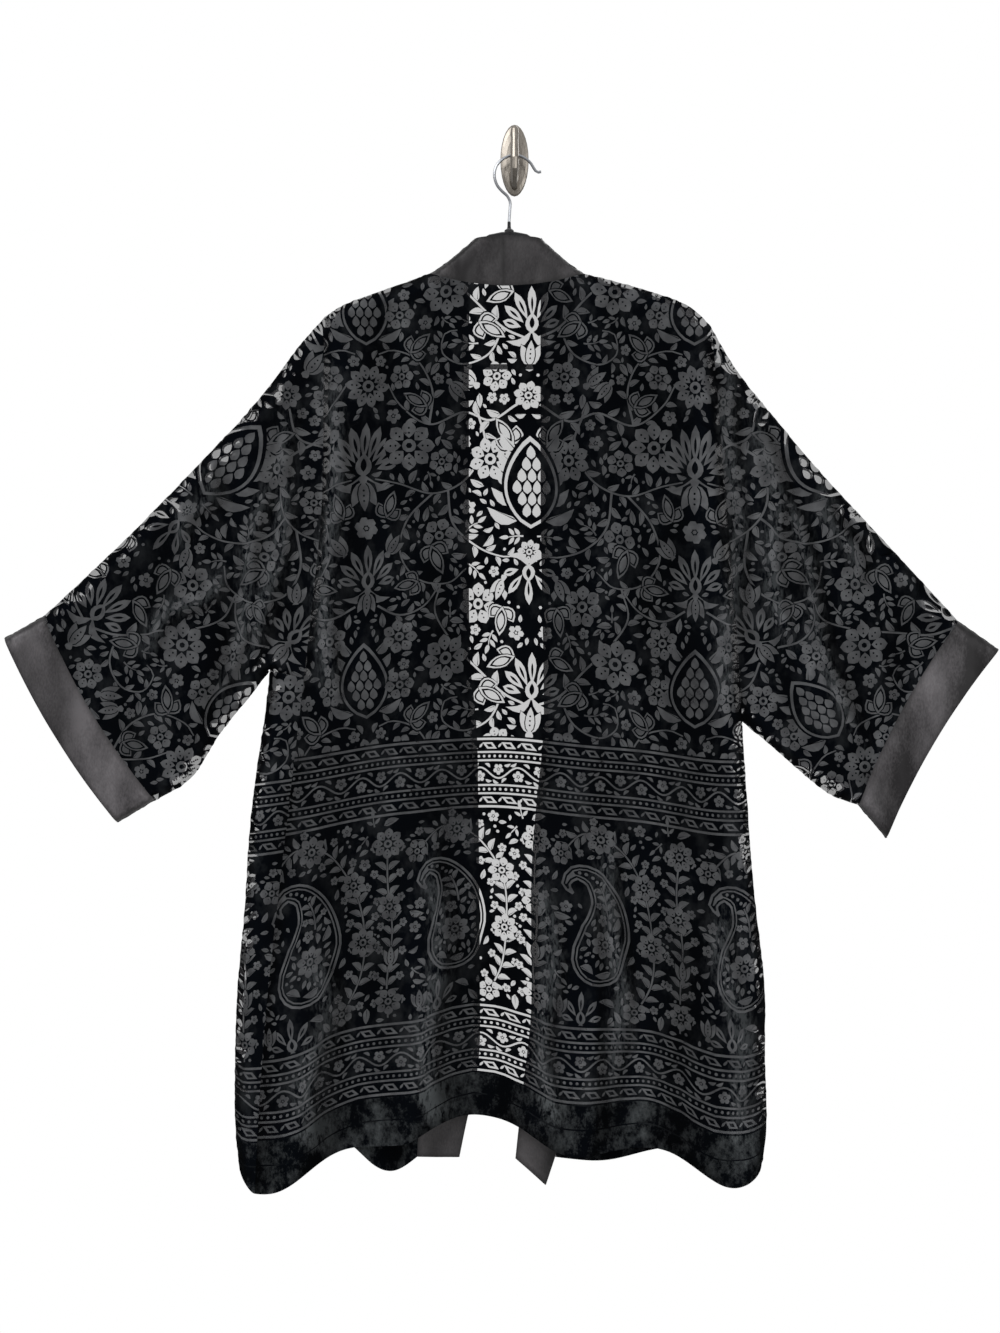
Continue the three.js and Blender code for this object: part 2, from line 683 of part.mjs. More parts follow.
/**
 * A sleeve and its cuff. Each row is a ring: down the back side from the top edge, then up the wall side.
 * Both sides have their own place at the bottom of a ring. It is one and the same beyond the wrap.
 */
function sleeveGrids(sleeve, armhole, wrap) {
  const last = armhole.back.length - 1;
  const topEdge = route(sleeve.top);
  const edgeBelow = route(sleeve.below);
  const [seamTop, seamBelow] = [sleeve.top.at(-1), sleeve.below.at(-1)];
  const [top, bottom] = [armhole.back[0], armhole.back[last]];
  const downs = armhole.back.map((place) => (top.z - place.z) / (top.z - bottom.z));
  const wrapSteps = wrap.back.length;
  const wrapShare = wrapSteps > 0 ? WRAP_SHARE : 0;

  const outFolds = (side, x, z) =>
    creasesAt(sleeve.creases, x, z) * (side === "back" ? -1 : FRONT_SIDE_SHARE);
  const depthSign = (side) => (side === "back" ? -1 : 1);

  function sleevePlace(side, step, k) {
    const start = armhole[side][k];
    const inWrap = step > 0 && step <= wrapSteps;
    const along = step <= wrapSteps ? wrapShare * (step / Math.max(wrapSteps, 1))
      : mix(wrapShare, 1, (step - wrapSteps) / (SLEEVE_STEPS - wrapSteps));
    const down = downs[k];
    const over = topEdge(along);
    const under = inWrap ? wrap[side][step - 1] : edgeBelow((along - wrapShare) / (1 - wrapShare));
    const lowest = step === 0 ? armhole[side][last] : under;
    if (step === 0) return start;
    if (inWrap && k === last) return under;
    const end = bowed(seamTop, seamBelow, sleeve.seamBow, down);
    const place = (axis) =>
      mix(over[axis], lowest[axis], down) + mix(start[axis], end[axis], along) -
      mix(mix(top[axis], bottom[axis], down), mix(seamTop[axis], seamBelow[axis], down), along);
    const [x, z] = [place("x"), place("z")];
    const height = Math.hypot(over.x - lowest.x, over.z - lowest.z);
    const held = inWrap ? Math.abs(under.y - MIDDLE_Y) / SLEEVE_DEPTH : 0;
    const full = mix(held, 1, roundOff((1 - down) * height, SLEEVE_ROUND)) *
      roundOff(down * height, SLEEVE_ROUND);
    const own = MIDDLE_Y + full * (depthSign(side) * SLEEVE_DEPTH + outFolds(side, x, z));
    return new THREE.Vector3(x, mix(start.y, own, ease(0, 0.3, along)), z);
  }

  function cuffPlace(side, step, k) {
    const seam = bowed(seamTop, seamBelow, sleeve.seamBow, downs[k]);
    const edge = bowed(sleeve.cuffTop, sleeve.cuffBelow, sleeve.edgeBow, downs[k]);
    const height = Math.hypot(seamTop.x - seamBelow.x, seamTop.z - seamBelow.z);
    const full = roundOff((1 - downs[k]) * height, SLEEVE_ROUND) * roundOff(downs[k] * height, SLEEVE_ROUND);
    const along = step / CUFF_STEPS;
    const folds = outFolds(side, seam.x, seam.z);
    return new THREE.Vector3(
      mix(seam.x, edge.x, along), MIDDLE_Y + full * (depthSign(side) * SLEEVE_DEPTH + folds),
      mix(seam.z, edge.z, along));
  }

  const ring = (placeAt, step) => [
    ...downs.map((_, k) => placeAt("back", step, k)),
    ...downs.map((_, k) => placeAt("front", step, k)).slice(1).reverse(),
  ];
  const rings = (placeAt, steps) => Array.from({ length: steps + 1 }, (_, step) => ring(placeAt, step));
  return {
    sleeve: rings(sleevePlace, SLEEVE_STEPS),
    cuff: rings(cuffPlace, CUFF_STEPS),
    holds: (row, column) => column !== last,
  };
}

// Cloth solids

const placeKey = (point) => [point.x, point.y, point.z].map((n) => Math.round(n * 100)).join(" ");

/** The four corners of each cell of cloth in a sheet, each as [row, column]. */
function cellsOf(sheet) {
  const rows = sheet.grid.length;
  const columns = sheet.grid[0].length;
  const across = sheet.closed ? columns : columns - 1;
  const cells = [];
  for (let row = 0; row < rows - 1; row += 1) {
    for (let column = 0; column < across; column += 1) {
      if (sheet.holds && !sheet.holds(row, column)) continue;
      const next = (column + 1) % columns;
      const corners = [[row, column], [row + 1, column], [row + 1, next], [row, next]];
      cells.push(sheet.flipped ? corners.reverse() : corners);
    }
  }
  return cells;
}

/** Pieces share a place's outward direction, except at the foot of an armhole, where sleeve and body part. */
function normalKey(sheet, feet, place) {
  const key = placeKey(place);
  return feet.has(key) ? `${key} ${sheet.limb ?? "body"}` : key;
}

/** Outward directions at every place of the whole robe, shared across its seams. */
function sharedNormals(sheets, feet) {
  const normals = new Map();
  for (const sheet of sheets) {
    for (const cell of cellsOf(sheet)) {
      const [a, b, c, d] = cell.map(([row, column]) => sheet.grid[row][column]);
      const normal = c.clone().sub(a).cross(d.clone().sub(b));
      for (const corner of [a, b, c, d]) {
        const key = normalKey(sheet, feet, corner);
        if (!normals.has(key)) normals.set(key, new THREE.Vector3());
        normals.get(key).add(normal);
      }
    }
  }
  normals.forEach((normal) => normal.normalize());
  return normals;
}

/** How places on the edges of a sheet move inwards, so that the sheet stops short of its seams. */
function edgeMoves(edges) {
  const sides = new Map();
  for (const { from, to, inward } of edges) {
    for (const end of [from, to]) sides.set(end, [...(sides.get(end) ?? []), inward]);
  }
  const moves = new Map();
  sides.forEach((inwards, end) => {
    const sum = inwards.reduce((total, inward) => total.add(inward), new THREE.Vector3());
    const share = Math.max(sum.dot(inwards[0]), 0.4);
    moves.set(end, sum.multiplyScalar(SEAM_GAP / 2 / share));
  });
  return moves;
}

/** A closed wall of cloth from a sheet's outer places and its inner ones. */
function clothGeometry(sheet, normals, feet) {
  const numbers = new Map();
  const places = [];
  const number = ([row, column]) => {
    const place = sheet.grid[row][column];
    const key = placeKey(place);
    if (!numbers.has(key)) {
      numbers.set(key, places.length);
      places.push(place);
    }
    return numbers.get(key);
  };
  const faces = [];
  const open = new Map();
  for (const cell of cellsOf(sheet)) {
    const corners = cell.map(number);
    const [a, b, c, d] = corners.map((corner) => places[corner]);
    const normal = c.clone().sub(a).cross(d.clone().sub(b));
    const [p, q, r, s] = corners.map((corner) => 2 * corner);
    faces.push(p, q, r, p, r, s);
    faces.push(p + 1, r + 1, q + 1, p + 1, s + 1, r + 1);
    corners.forEach((from, i) => {
      const to = corners[(i + 1) % corners.length];
      if (open.delete(`${to} ${from}`)) return;
      const inward = normal.clone().cross(places[to].clone().sub(places[from])).normalize();
      open.set(`${from} ${to}`, { from, to, inward });
    });
  }
  const edges = [...open.values()];
  for (const { from, to } of edges) {
    const [p, q] = [2 * from, 2 * to];
    if (placeKey(places[from]) < placeKey(places[to])) faces.push(q, p, p + 1, q, p + 1, q + 1);
    else faces.push(q, p, q + 1, p, p + 1, q + 1);
  }
  const moves = edgeMoves(edges);
  const positions = places.flatMap((place, i) => {
    const outer = place.clone().add(moves.get(i) ?? new THREE.Vector3());
    const inner = outer.clone().addScaledVector(normals.get(normalKey(sheet, feet, place)), -sheet.wall);
    return [outer.x, outer.y, outer.z, inner.x, inner.y, inner.z];
  });
  const geometry = new THREE.BufferGeometry();
  geometry.setAttribute("position", new THREE.Float32BufferAttribute(positions, 3));
  geometry.setIndex(faces);
  geometry.computeVertexNormals();
  return geometry;
}

/** All sheets of the robe, which share their places along every seam. */
function robeSheets() {
  const back = backGrid();
  const frontLeft = frontLeftGrid();
  const frontRight = frontRightGrid();
  const lastColumn = back[0].length - 1;
  const centre = SHOULDER_COLUMNS + NECK_STEPS.length - 1;
  const sideColumn = SHOULDER_COLUMNS;
  const seamColumn = frontLeft[0].length - 1;
  const armRows = rowNumbers.slice(0, UNDERARM_ROW + 1);

  const neckLeft = back[0].slice(SHOULDER_COLUMNS, centre + 1).reverse();
  const neckRight = back[0].slice(centre, lastColumn - SHOULDER_COLUMNS + 1);
  const bandLeft = bandGrid(
    neckLeft, frontLeft.map((row) => row[0]), COLLAR_CORNER_LEFT_X, openEdgeLeftX,
    BAND_END_LEFT.openZ, LEFT_UNDERARM.seamZ);
  const bandRight = bandGrid(
    neckRight, frontRight.map((row) => row.at(-1)), COLLAR_CORNER_RIGHT_X, openEdgeRightX,
    BAND_END_RIGHT.openZ, RIGHT_UNDERARM.seamZ, BAND_END_RIGHT.tail);

  const wrapRow = frontLeft[UNDERARM_ROW];
  const foldColumn = sideColumn + WRAP_INSETS.length + 1;
  const left = sleeveGrids(
    LEFT_SLEEVE,
    { back: armRows.map((row) => back[row][0]), front: armRows.map((row) => frontLeft[row][sideColumn]) },
    {
      back: wrapRow.slice(foldColumn, seamColumn).reverse(),
      front: wrapRow.slice(sideColumn + 1, foldColumn + 1),
    });
  const right = sleeveGrids(
    RIGHT_SLEEVE,
    { back: armRows.map((row) => back[row][lastColumn]), front: armRows.map((row) => frontRight[row][0]) },
    { back: [], front: [] });

  const feet = new Set([wrapRow[foldColumn], back[UNDERARM_ROW][lastColumn]].map(placeKey));
  const sheets = [
    { name: "back", grid: back, wall: VELVET_WALL, material: velvet },
    {
      name: "front_left", grid: frontLeft, wall: VELVET_WALL, material: velvet,
      holds: (row, column) => column < sideColumn || row >= UNDERARM_ROW,
    },
    { name: "front_right", grid: frontRight, wall: VELVET_WALL, material: velvet },
    {
      name: "sleeve_left", grid: left.sleeve, wall: VELVET_WALL, material: velvet,
      holds: left.holds, limb: "sleeve", closed: true,
    },
    {
      name: "sleeve_right", grid: right.sleeve, wall: VELVET_WALL, material: velvet,
      holds: right.holds, limb: "sleeve", closed: true, flipped: true,
    },
    {
      name: "cuff_left", grid: left.cuff, wall: SATIN_WALL, material: satin,
      holds: left.holds, closed: true,
    },
    {
      name: "cuff_right", grid: right.cuff, wall: SATIN_WALL, material: satin,
      holds: right.holds, closed: true, flipped: true,
    },
    { name: "neck_band_left", grid: bandLeft, wall: SATIN_WALL, material: satin },
    { name: "neck_band_right", grid: bandRight, wall: SATIN_WALL, material: satin, flipped: true },
  ];
  return { sheets, feet };
}

// Hanger

/** The hanger's top stays under the cloth, and stands free of it between the two ends of the collar. */
function hangerTopZ(x) {
  const free = ease(COLLAR_CORNER_LEFT_X + 2, COLLAR_CORNER_LEFT_X + 12, x) *
    ease(COLLAR_CORNER_RIGHT_X - 2, COLLAR_CORNER_RIGHT_X - 12, x);
  return shoulderZ(x) - HANGER.below * (1 - free);
}

function hangerFrame() {
  const { thick, bevel, leftEnd, rightEnd, armHeight, barTop, barFoot } = HANGER;
  const steps = 28;
  const shape = new THREE.Shape();
  for (let i = 0; i <= steps; i += 1) {
    const x = mix(leftEnd, rightEnd, i / steps);
    if (i === 0) shape.moveTo(x, hangerTopZ(x));
    else shape.lineTo(x, hangerTopZ(x));
  }
  shape.quadraticCurveTo(rightEnd + 9, -190, rightEnd + 4, -208);
  shape.quadraticCurveTo(rightEnd - 8, barFoot, rightEnd - 34, barFoot);
  shape.lineTo(leftEnd + 34, barFoot);
  shape.quadraticCurveTo(leftEnd + 8, barFoot, leftEnd - 2, -208);
  shape.quadraticCurveTo(leftEnd - 8, -188, leftEnd, hangerTopZ(leftEnd));
  const hole = new THREE.Path();
  const [innerLeft, innerRight] = [leftEnd + 12, rightEnd - 12];
  for (let i = 0; i <= steps; i += 1) {
    const x = mix(innerRight, innerLeft, i / steps);
    if (i === 0) hole.moveTo(x, hangerTopZ(x) - armHeight);
    else hole.lineTo(x, hangerTopZ(x) - armHeight);
  }
  hole.quadraticCurveTo(innerLeft + 2, barTop, innerLeft + 22, barTop);
  hole.lineTo(innerRight - 22, barTop);
  hole.quadraticCurveTo(innerRight - 2, barTop, innerRight, hangerTopZ(innerRight) - armHeight);
  shape.holes.push(hole);
  const geometry = new THREE.ExtrudeGeometry(shape, {
    depth: thick - 2 * bevel, bevelEnabled: true, bevelThickness: bevel, bevelSize: bevel,
    bevelOffset: -bevel, bevelSegments: 1, curveSegments: 6,
  });
  geometry.translate(0, 0, bevel - thick / 2);
  geometry.rotateX(Math.PI / 2);
  geometry.translate(0, MIDDLE_Y, 0);
  return geometry;
}

function hangerCollar() {
  const profile = HANGER_COLLAR.map((row) => new THREE.Vector2(row.radius, row.z));
  const geometry = new THREE.LatheGeometry(profile, 16);
  geometry.rotateX(Math.PI / 2);
  geometry.translate(WIRE_ROUTE[0].x, MIDDLE_Y, 0);
  return geometry;
}

function hangerWire() {
  const points = WIRE_ROUTE.map((row) => new THREE.Vector3(row.x, MIDDLE_Y, row.z));
  const section = new THREE.Shape();
  section.absarc(0, 0, WIRE_RADIUS, 0, 2 * Math.PI);
  return new THREE.ExtrudeGeometry(section, {
    steps: 40, curveSegments: 5, extrudePath: new THREE.CatmullRomCurve3(points),
  });
}

// Wall hook: an oval plate and an arm, cast in one

function hookPlate() {
  const { halfWidth, halfHeight, rim, thick } = PLATE;
  const profile = [new THREE.Vector2(0, 0), new THREE.Vector2(1, 0)];
  const domeSteps = 5;
  for (let i = 0; i <= domeSteps; i += 1) {
    const angle = (Math.PI / 2) * (i / domeSteps);
    profile.push(new THREE.Vector2(i === domeSteps ? 0 : Math.cos(angle), rim + (thick - rim) * Math.sin(angle)));
  }
  const geometry = new THREE.LatheGeometry(profile, 28);
  geometry.rotateX(Math.PI);
  geometry.scale(halfWidth, 1, halfHeight);
  return geometry;
}

function hookArm() {
  const positions = [];
  const faces = [];
  for (const section of ARM_SECTIONS) {
    const pitch = THREE.MathUtils.degToRad(section.pitch);
    for (let i = 0; i < ARM_SIDES; i += 1) {
      const angle = (2 * Math.PI * i) / ARM_SIDES;
      const up = section.halfThick * Math.sin(angle);
      positions.push(
        section.halfWide * Math.cos(angle), section.y + up * Math.sin(pitch), section.z + up * Math.cos(pitch));
    }
  }
  const last = ARM_SECTIONS.length - 1;
  for (let row = 0; row < last; row += 1) {
    for (let i = 0; i < ARM_SIDES; i += 1) {
      const next = (i + 1) % ARM_SIDES;
      const [a, b] = [row * ARM_SIDES + i, row * ARM_SIDES + next];
      const [c, d] = [a + ARM_SIDES, b + ARM_SIDES];
      faces.push(a, b, d, a, d, c);
    }
  }
  for (let i = 1; i < ARM_SIDES - 1; i += 1) {
    const tip = last * ARM_SIDES;
    faces.push(0, i + 1, i, tip, tip + i, tip + i + 1);
  }
  const geometry = new THREE.BufferGeometry();
  geometry.setAttribute("position", new THREE.Float32BufferAttribute(positions, 3));
  geometry.setIndex(faces);
  return geometry;
}

const wasm = await Module();
wasm.setup();

function solidOf(geometry) {
  const bare = geometry.clone();
  bare.deleteAttribute("normal");
  bare.deleteAttribute("uv");
  const merged = mergeVertices(bare, 1e-4);
  return new wasm.Manifold(new wasm.Mesh({
    numProp: 3,
    vertProperties: new Float32Array(merged.attributes.position.array),
    triVerts: new Uint32Array(merged.index.array),
  }));
}

function joined(a, b) {
  const mesh = solidOf(a).add(solidOf(b)).getMesh();
  const geometry = new THREE.BufferGeometry();
  geometry.setAttribute("position", new THREE.Float32BufferAttribute(mesh.vertProperties, 3));
  geometry.setIndex(Array.from(mesh.triVerts));
  geometry.computeVertexNormals();
  return geometry;
}

// The whole part

const part = new THREE.Group();

function addPiece(name, geometry, material) {
  const mesh = new THREE.Mesh(geometry, material);
  mesh.name = name;
  part.add(mesh);
}

const { sheets, feet } = robeSheets();
const normals = sharedNormals(sheets, feet);
for (const sheet of sheets) addPiece(sheet.name, clothGeometry(sheet, normals, feet), sheet.material);
addPiece("hanger_frame", hangerFrame(), flock);
addPiece("hanger_collar", hangerCollar(), flock);
addPiece("hanger_wire", hangerWire(), chrome);
addPiece("wall_hook", joined(hookPlate(), hookArm()), nickel);

export default part;
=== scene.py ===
"""Looks of the kimono robe: burnout velvet, satin, flocked hanger, chrome wire and nickel wall hook."""

from math import atan2, ceil, cos, floor, pi, radians, sin, tau

import bmesh
import bpy
import numpy as np
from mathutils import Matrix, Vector, kdtree, noise
from mathutils.bvhtree import BVHTree
from mathutils.geometry import delaunay_2d_cdt


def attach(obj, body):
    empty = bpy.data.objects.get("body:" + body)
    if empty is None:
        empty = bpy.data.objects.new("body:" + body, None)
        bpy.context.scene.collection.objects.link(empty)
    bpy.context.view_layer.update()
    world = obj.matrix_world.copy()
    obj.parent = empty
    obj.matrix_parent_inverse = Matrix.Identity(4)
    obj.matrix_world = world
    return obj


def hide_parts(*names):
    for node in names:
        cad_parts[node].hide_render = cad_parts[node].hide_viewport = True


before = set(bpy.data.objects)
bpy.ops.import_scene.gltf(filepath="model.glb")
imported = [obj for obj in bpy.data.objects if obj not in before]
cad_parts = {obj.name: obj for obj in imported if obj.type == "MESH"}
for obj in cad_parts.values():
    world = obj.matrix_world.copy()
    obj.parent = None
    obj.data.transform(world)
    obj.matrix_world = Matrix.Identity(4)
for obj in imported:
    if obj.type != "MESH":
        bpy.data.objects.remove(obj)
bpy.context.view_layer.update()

# Frame: metres, +Z up, the wall is the plane y = 0 and the robe's back faces -Y.
MIDDLE_Y = -0.0195  # plane of the hanger and of the cloth's side edges
VELVET_WALL = 0.0015
SATIN_WALL = 0.002
CELL = 0.008  # spacing of the cloth's points away from its pattern
SATIN_CELL = 0.004
SEAM_CLOSING = 0.00025  # the pieces grow by this, so that no light comes through the seams
TURNED = 0.0035  # how near the middle plane the cloth turns from one side to the other
EASED = 0.006  # how far from that plane its ripples and folds have their full height
CRINKLE = 0.0016  # how far the nap stands out of the turned edges
LONG_WAVE, SHORT_WAVE = 0.0018, 0.0004  # height of the cloth's ripples
RIPPLE_SHADE = 0.004  # painted shade: a ripple of this height would be painted lighter by the whole range
SEWN = 0.005  # how far the shade of the satin's seams reaches
LONG_SHAPE = 60  # points of an outline that runs right across the cloth
FOLD_REACH = 0.012  # how far round a place its folds are judged, for their painted shade
FOLD_DEPTH = 0.0016  # height from a trough to a ridge whose painted shade shows in full
WALL_FOLDS = 0.4  # height of the folds on the wall side, as a part of that on the back
FOLDS = (
    # from (x, z), to (x, z), reach to each side, height: where the cloth hangs in a soft fold
    ((-0.214, -0.21), (-0.216, -0.66), 0.008, 0.0026),
    ((0.250, -0.21), (0.246, -0.66), 0.008, 0.0026),
    ((-0.252, -0.27), (-0.300, -0.60), 0.008, 0.0024),
    ((-0.276, -0.34), (-0.345, -0.65), 0.007, 0.0022),
    ((-0.344, -0.36), (-0.392, -0.45), 0.008, 0.0020),
    ((-0.330, -0.47), (-0.440, -0.57), 0.009, 0.0018),
    ((0.278, -0.27), (0.312, -0.58), 0.008, 0.0024),
    ((0.292, -0.34), (0.398, -0.70), 0.007, 0.0024),
    ((0.345, -0.37), (0.400, -0.50), 0.008, 0.0018),
    ((-0.094, -0.78), (-0.096, -1.13), 0.010, 0.0024),
    ((0.034, -0.82), (0.038, -1.12), 0.008, 0.0020),
    ((0.110, -0.76), (0.114, -1.10), 0.009, 0.0020),
    ((-0.222, -0.90), (-0.236, -1.15), 0.011, 0.0024),
    ((0.236, -0.84), (0.262, -1.14), 0.010, 0.0022),
)
TAKEN_UP = 0.0036  # how far a fold draws the pattern in from each side
BACK, WALL = -1, 1  # the side that faces the camera, and the side that faces the wall

# Photograph
PHOTO_PIXELS = (1000, 1333)
PIXEL = 0.00115  # metres per pixel at the robe
ORIGIN_PIXEL = (514.7, 155.4)  # the wall hook's middle

# Pattern, in millimetres of flat cloth: u to the right of the middle, v down from the top
HALF_REPEAT = 189  # from one mirror axis of the flowers to the next
FLORAL_REPEAT = 414
FLORAL_REACH = 460  # how far down the shapes of a repeat reach
PAISLEY_REPEAT = 167
PAISLEY_HEIGHT = 224
BORDER_HEIGHT = 79
BORDER_EDGE = 2  # pile above and below a border
UPPER_BORDER = (527, 606)
LOWER_BORDER = (832, 911)
HEM_STITCHES = 937
BODY_CLOTH = (-354, 282)  # u from one side of the body's cloth to the other
SLEEVE_CLOTH = ((-260, -60), (260, 640))  # low and high corner of a sleeve's cloth
FILLING_MARGIN = 1.9  # pile between a filling and what is round it
PILE, SHEER, HEM, OPEN = 0, 1, 2, 3  # kinds of cloth: pile, burnt out ground made nearly opaque as painted shade, hem, ground with light behind with painted glints along the edges


def turned(points, angle, at=(0, 0)):
    """Points turned by an angle, then moved."""
    c, s = cos(angle), sin(angle)
    points = np.asarray(points, float)
    return np.stack([points[:, 0] * c - points[:, 1] * s, points[:, 0] * s + points[:, 1] * c], 1) + at


def leaf(length, width, belly=0.8, bend=0.0, steps=5):
    """A pointed leaf along +u from the origin. Its belly is nearer the stem below 1, nearer the tip above."""
    t = np.linspace(0, 1, steps + 1)
    half = width / 2 * np.sin(pi * t**belly) ** 0.8
    half[-1] = 0
    middle = bend * length * np.sin(pi * t) / 2
    lower = np.stack([t * length, middle - half], 1)
    upper = np.stack([t * length, middle + half], 1)[::-1][1:-1]
    return np.concatenate([lower, upper])


def disc(radius, at=(0, 0), sides=8):
    turn = np.arange(sides) * tau / sides
    return np.stack([np.cos(turn) * radius, np.sin(turn) * radius], 1) + at


def spoke(radius, angle):
    return np.array([cos(angle), sin(angle)]) * radius


def smooth(points, step=5.0):
    """A curve through some points, as points a step apart."""
    points = np.asarray(points, float)
    ends = np.concatenate([[2 * points[0] - points[1]], points, [2 * points[-1] - points[-2]]])
    curve = []
    for a, b, c, d in zip(ends, ends[1:], ends[2:], ends[3:]):
        count = max(2, int(np.linalg.norm(c - b) / step))
        square = 2 * a - 5 * b + 4 * c - d
        cube = 3 * b - a - 3 * c + d
        curve += [0.5 * (2 * b + (c - a) * t + square * t**2 + cube * t**3) for t in np.arange(count) / count]
    return np.array(curve + [points[-1]])


def crossways(curve):
    """The direction across a curve at each of its points."""
    ahead = np.gradient(curve, axis=0)
    ahead /= np.linalg.norm(ahead, axis=1)[:, None]
    return np.stack([-ahead[:, 1], ahead[:, 0]], 1)


def ribbon(curve, width, taper=0.0):
    """A strip along a curve. Its end is narrower by the taper."""
    half = width / 2 * (1 - taper * np.linspace(0, 1, len(curve)))[:, None] * crossways(curve)
    return np.concatenate([curve - half, (curve + half)[::-1]])


def daisy(radius, petals, angle=0.0, dots=2):
    """A flower with pointed petals, each with pile dots, and a ringed heart."""
    heart = 0.27
    shapes = [(disc(radius * 0.94, sides=2 * petals), PILE)]
    for k in range(petals):
        way = angle + k * tau / petals
        start = radius * heart * 1.12
        length = radius - start
        petal = leaf(length, 2 * radius * sin(pi / petals) * 0.72, belly=1.15)
        shapes.append((turned(petal + (start, 0), way), SHEER))
        for j in range(dots):
            dot = disc(radius * 0.05, (start + length * (0.3 + 0.28 * j), 0), 4)
            shapes.append((turned(dot, way), PILE))
    return shapes + [(disc(radius * heart, sides=10), SHEER), (disc(radius * heart * 0.45, sides=6), PILE)]


def blossom(radius, petals=5, angle=0.0):
    """A small flower of round petals round a dot."""
    shapes = [(disc(radius * 1.06), PILE)]
    for k in range(petals):
        middle = spoke(0.6 * radius, angle + k * tau / petals)
        shapes.append((disc(radius * 0.40, middle, 6), SHEER))
    return shapes + [(disc(radius * 0.17, sides=6), SHEER)]


def tulip(size, angle=0.0):
    """A bud of three petals on a calyx."""
    shapes = [(leaf(size * 1.15, size * 0.86, 0.72) - (size * 0.08, 0), PILE)]
    for way, reach in ((-0.42, 0.92), (0.42, 0.92), (0, 1.0)):
        shapes.append((turned(leaf(size * reach * 1.08, size * 0.44, 0.82), way), PILE))
        shapes.append((turned(leaf(size * reach, size * 0.36, 0.82) + (size * 0.04, 0), way), SHEER))
    for k in range(3):
        shapes.append((disc(size * 0.04, (size * (0.35 + 0.17 * k), 0), 5), PILE))
    shapes.append((leaf(size * 0.35, size * 0.3, 0.6) - (size * 0.16, 0), SHEER))
    return rotated(shapes, angle)


def veined_leaf(length, width, angle=0.0, bend=0.0):
    """A leaf with a pile midrib."""
    rib = np.array([(0.1, -0.035), (0.78, 0), (0.1, 0.035)]) * (length, width * 1.4)
    return [(turned(leaf(length, width, 0.8, bend), angle), SHEER), (turned(rib, angle), PILE)]


def palmette(size, rays=7, angle=0.0):
    """A fan of petals over two scrolls, symmetric about its axis."""
    shapes = [(leaf(size * 1.12, size * 1.3, 0.9) - (size * 0.04, 0), PILE)]
    for k in range(rays):
        side = (k - (rays - 1) / 2) / ((rays - 1) / 2)
        way = side * 1.25
        length = size * (1 - 0.42 * abs(side) ** 1.5)
        shapes.append((turned(leaf(length * 0.72, size * 0.2, 1.3) + (size * 0.27, 0), way), SHEER))
        shapes.append((turned(leaf(length * 0.34, size * 0.055, 1.2) + (size * 0.42, 0), way), PILE))
    shapes.append((leaf(size * 0.46, size * 0.32, 0.9) - (size * 0.06, 0), SHEER))
    shapes.append((leaf(size * 0.26, size * 0.12, 0.9) + (size * 0.05, 0), PILE))
    for side in (-1, 1):
        shapes.append((turned(leaf(size * 0.62, size * 0.17, 0.9, bend=0.5 * side), side * 1.95), SHEER))
    return rotated(shapes, angle)


def rotated(shapes, angle):
    return [(turned(points, angle), kind) for points, kind in shapes]


def moved(shapes, at):
    return [(points + at, kind) for points, kind in shapes]


def placed(*rows):
    """Groups of shapes, each moved to its place."""
    return [shape for shapes, at in rows for shape in moved(shapes, at)]


def mirrored(shapes, axis=0.0):
    return [(points[::-1] * (-1, 1) + (2 * axis, 0), kind) for points, kind in shapes]


def artichoke(size, angle=0.0):
    """A pointed oval filled with scales, inside a ring, with leaves to both sides."""
    shapes = []
    for side in (-1, 1):
        for k in range(5):
            leaflet = veined_leaf(size * (0.36 - 0.03 * k), size * 0.12, side * (1.15 - 0.12 * k), side * 0.3)
            shapes += moved(leaflet, (size * (0.08 + 0.19 * k), side * size * 0.16))
    oval = leaf(size, size * 0.62, 0.85, steps=14)
    shapes += [(oval * 1.09 - (size * 0.03, 0), PILE), (oval, SHEER), (oval * 0.9 + (size * 0.04, 0), PILE)]
    scale = leaf(size * 0.15, size * 0.1, 0.75)
    for row, count in enumerate((2, 3, 4, 3, 2, 1)):
        for k in range(count):
            across = (k - (count - 1) / 2) * size * 0.115
            shapes.append((scale + (size * (0.12 + 0.125 * row), across), SHEER))
    return rotated(shapes, angle)


def run_along(curve):
    """How far along a curve each of its points is."""
    return np.concatenate([[0], np.cumsum(np.linalg.norm(np.diff(curve, axis=0), axis=1))])


def place_on(curve, run, at):
    """The place at a distance along a curve, and the curve's angle there."""
    place, ahead = [
        np.array([np.interp(there, run, curve[:, 0]), np.interp(there, run, curve[:, 1])])
        for there in (at, at + 2)]
    return place, atan2(*(ahead - place)[::-1])


def leafy(curve, width, every, leaf_size, flip=1):
    """A stem with leaves to both sides in turn, but not at its ends."""
    shapes = [(ribbon(curve, width, 0.4), SHEER)]
    run = run_along(curve)
    side = flip
    bare = 0.12
    at = run[-1] * bare
    while at < run[-1] * (1 - bare / 2):
        place, ahead = place_on(curve, run, at)
        way = ahead + side * 0.85
        size = leaf_size * (1 - 0.35 * at / run[-1])
        start = place + spoke(width * 0.5 + 0.9, way)
        shapes += moved(veined_leaf(size, size * 0.46, way, -0.25 * side), start)
        side = -side
        at += every
    return shapes


def inside(outline, points):
    """Which points are within an outline."""
    a = outline[:, None]
    b = np.roll(outline, -1, 0)[:, None]
    crosses = (a[..., 1] > points[:, 1]) != (b[..., 1] > points[:, 1])
    rise = np.where(b[..., 1] == a[..., 1], 1.0, b[..., 1] - a[..., 1])
    reach = a[..., 0] + (b[..., 0] - a[..., 0]) * (points[:, 1] - a[..., 1]) / rise
    return (crosses & (points[:, 0] < reach)).sum(0) % 2 == 1


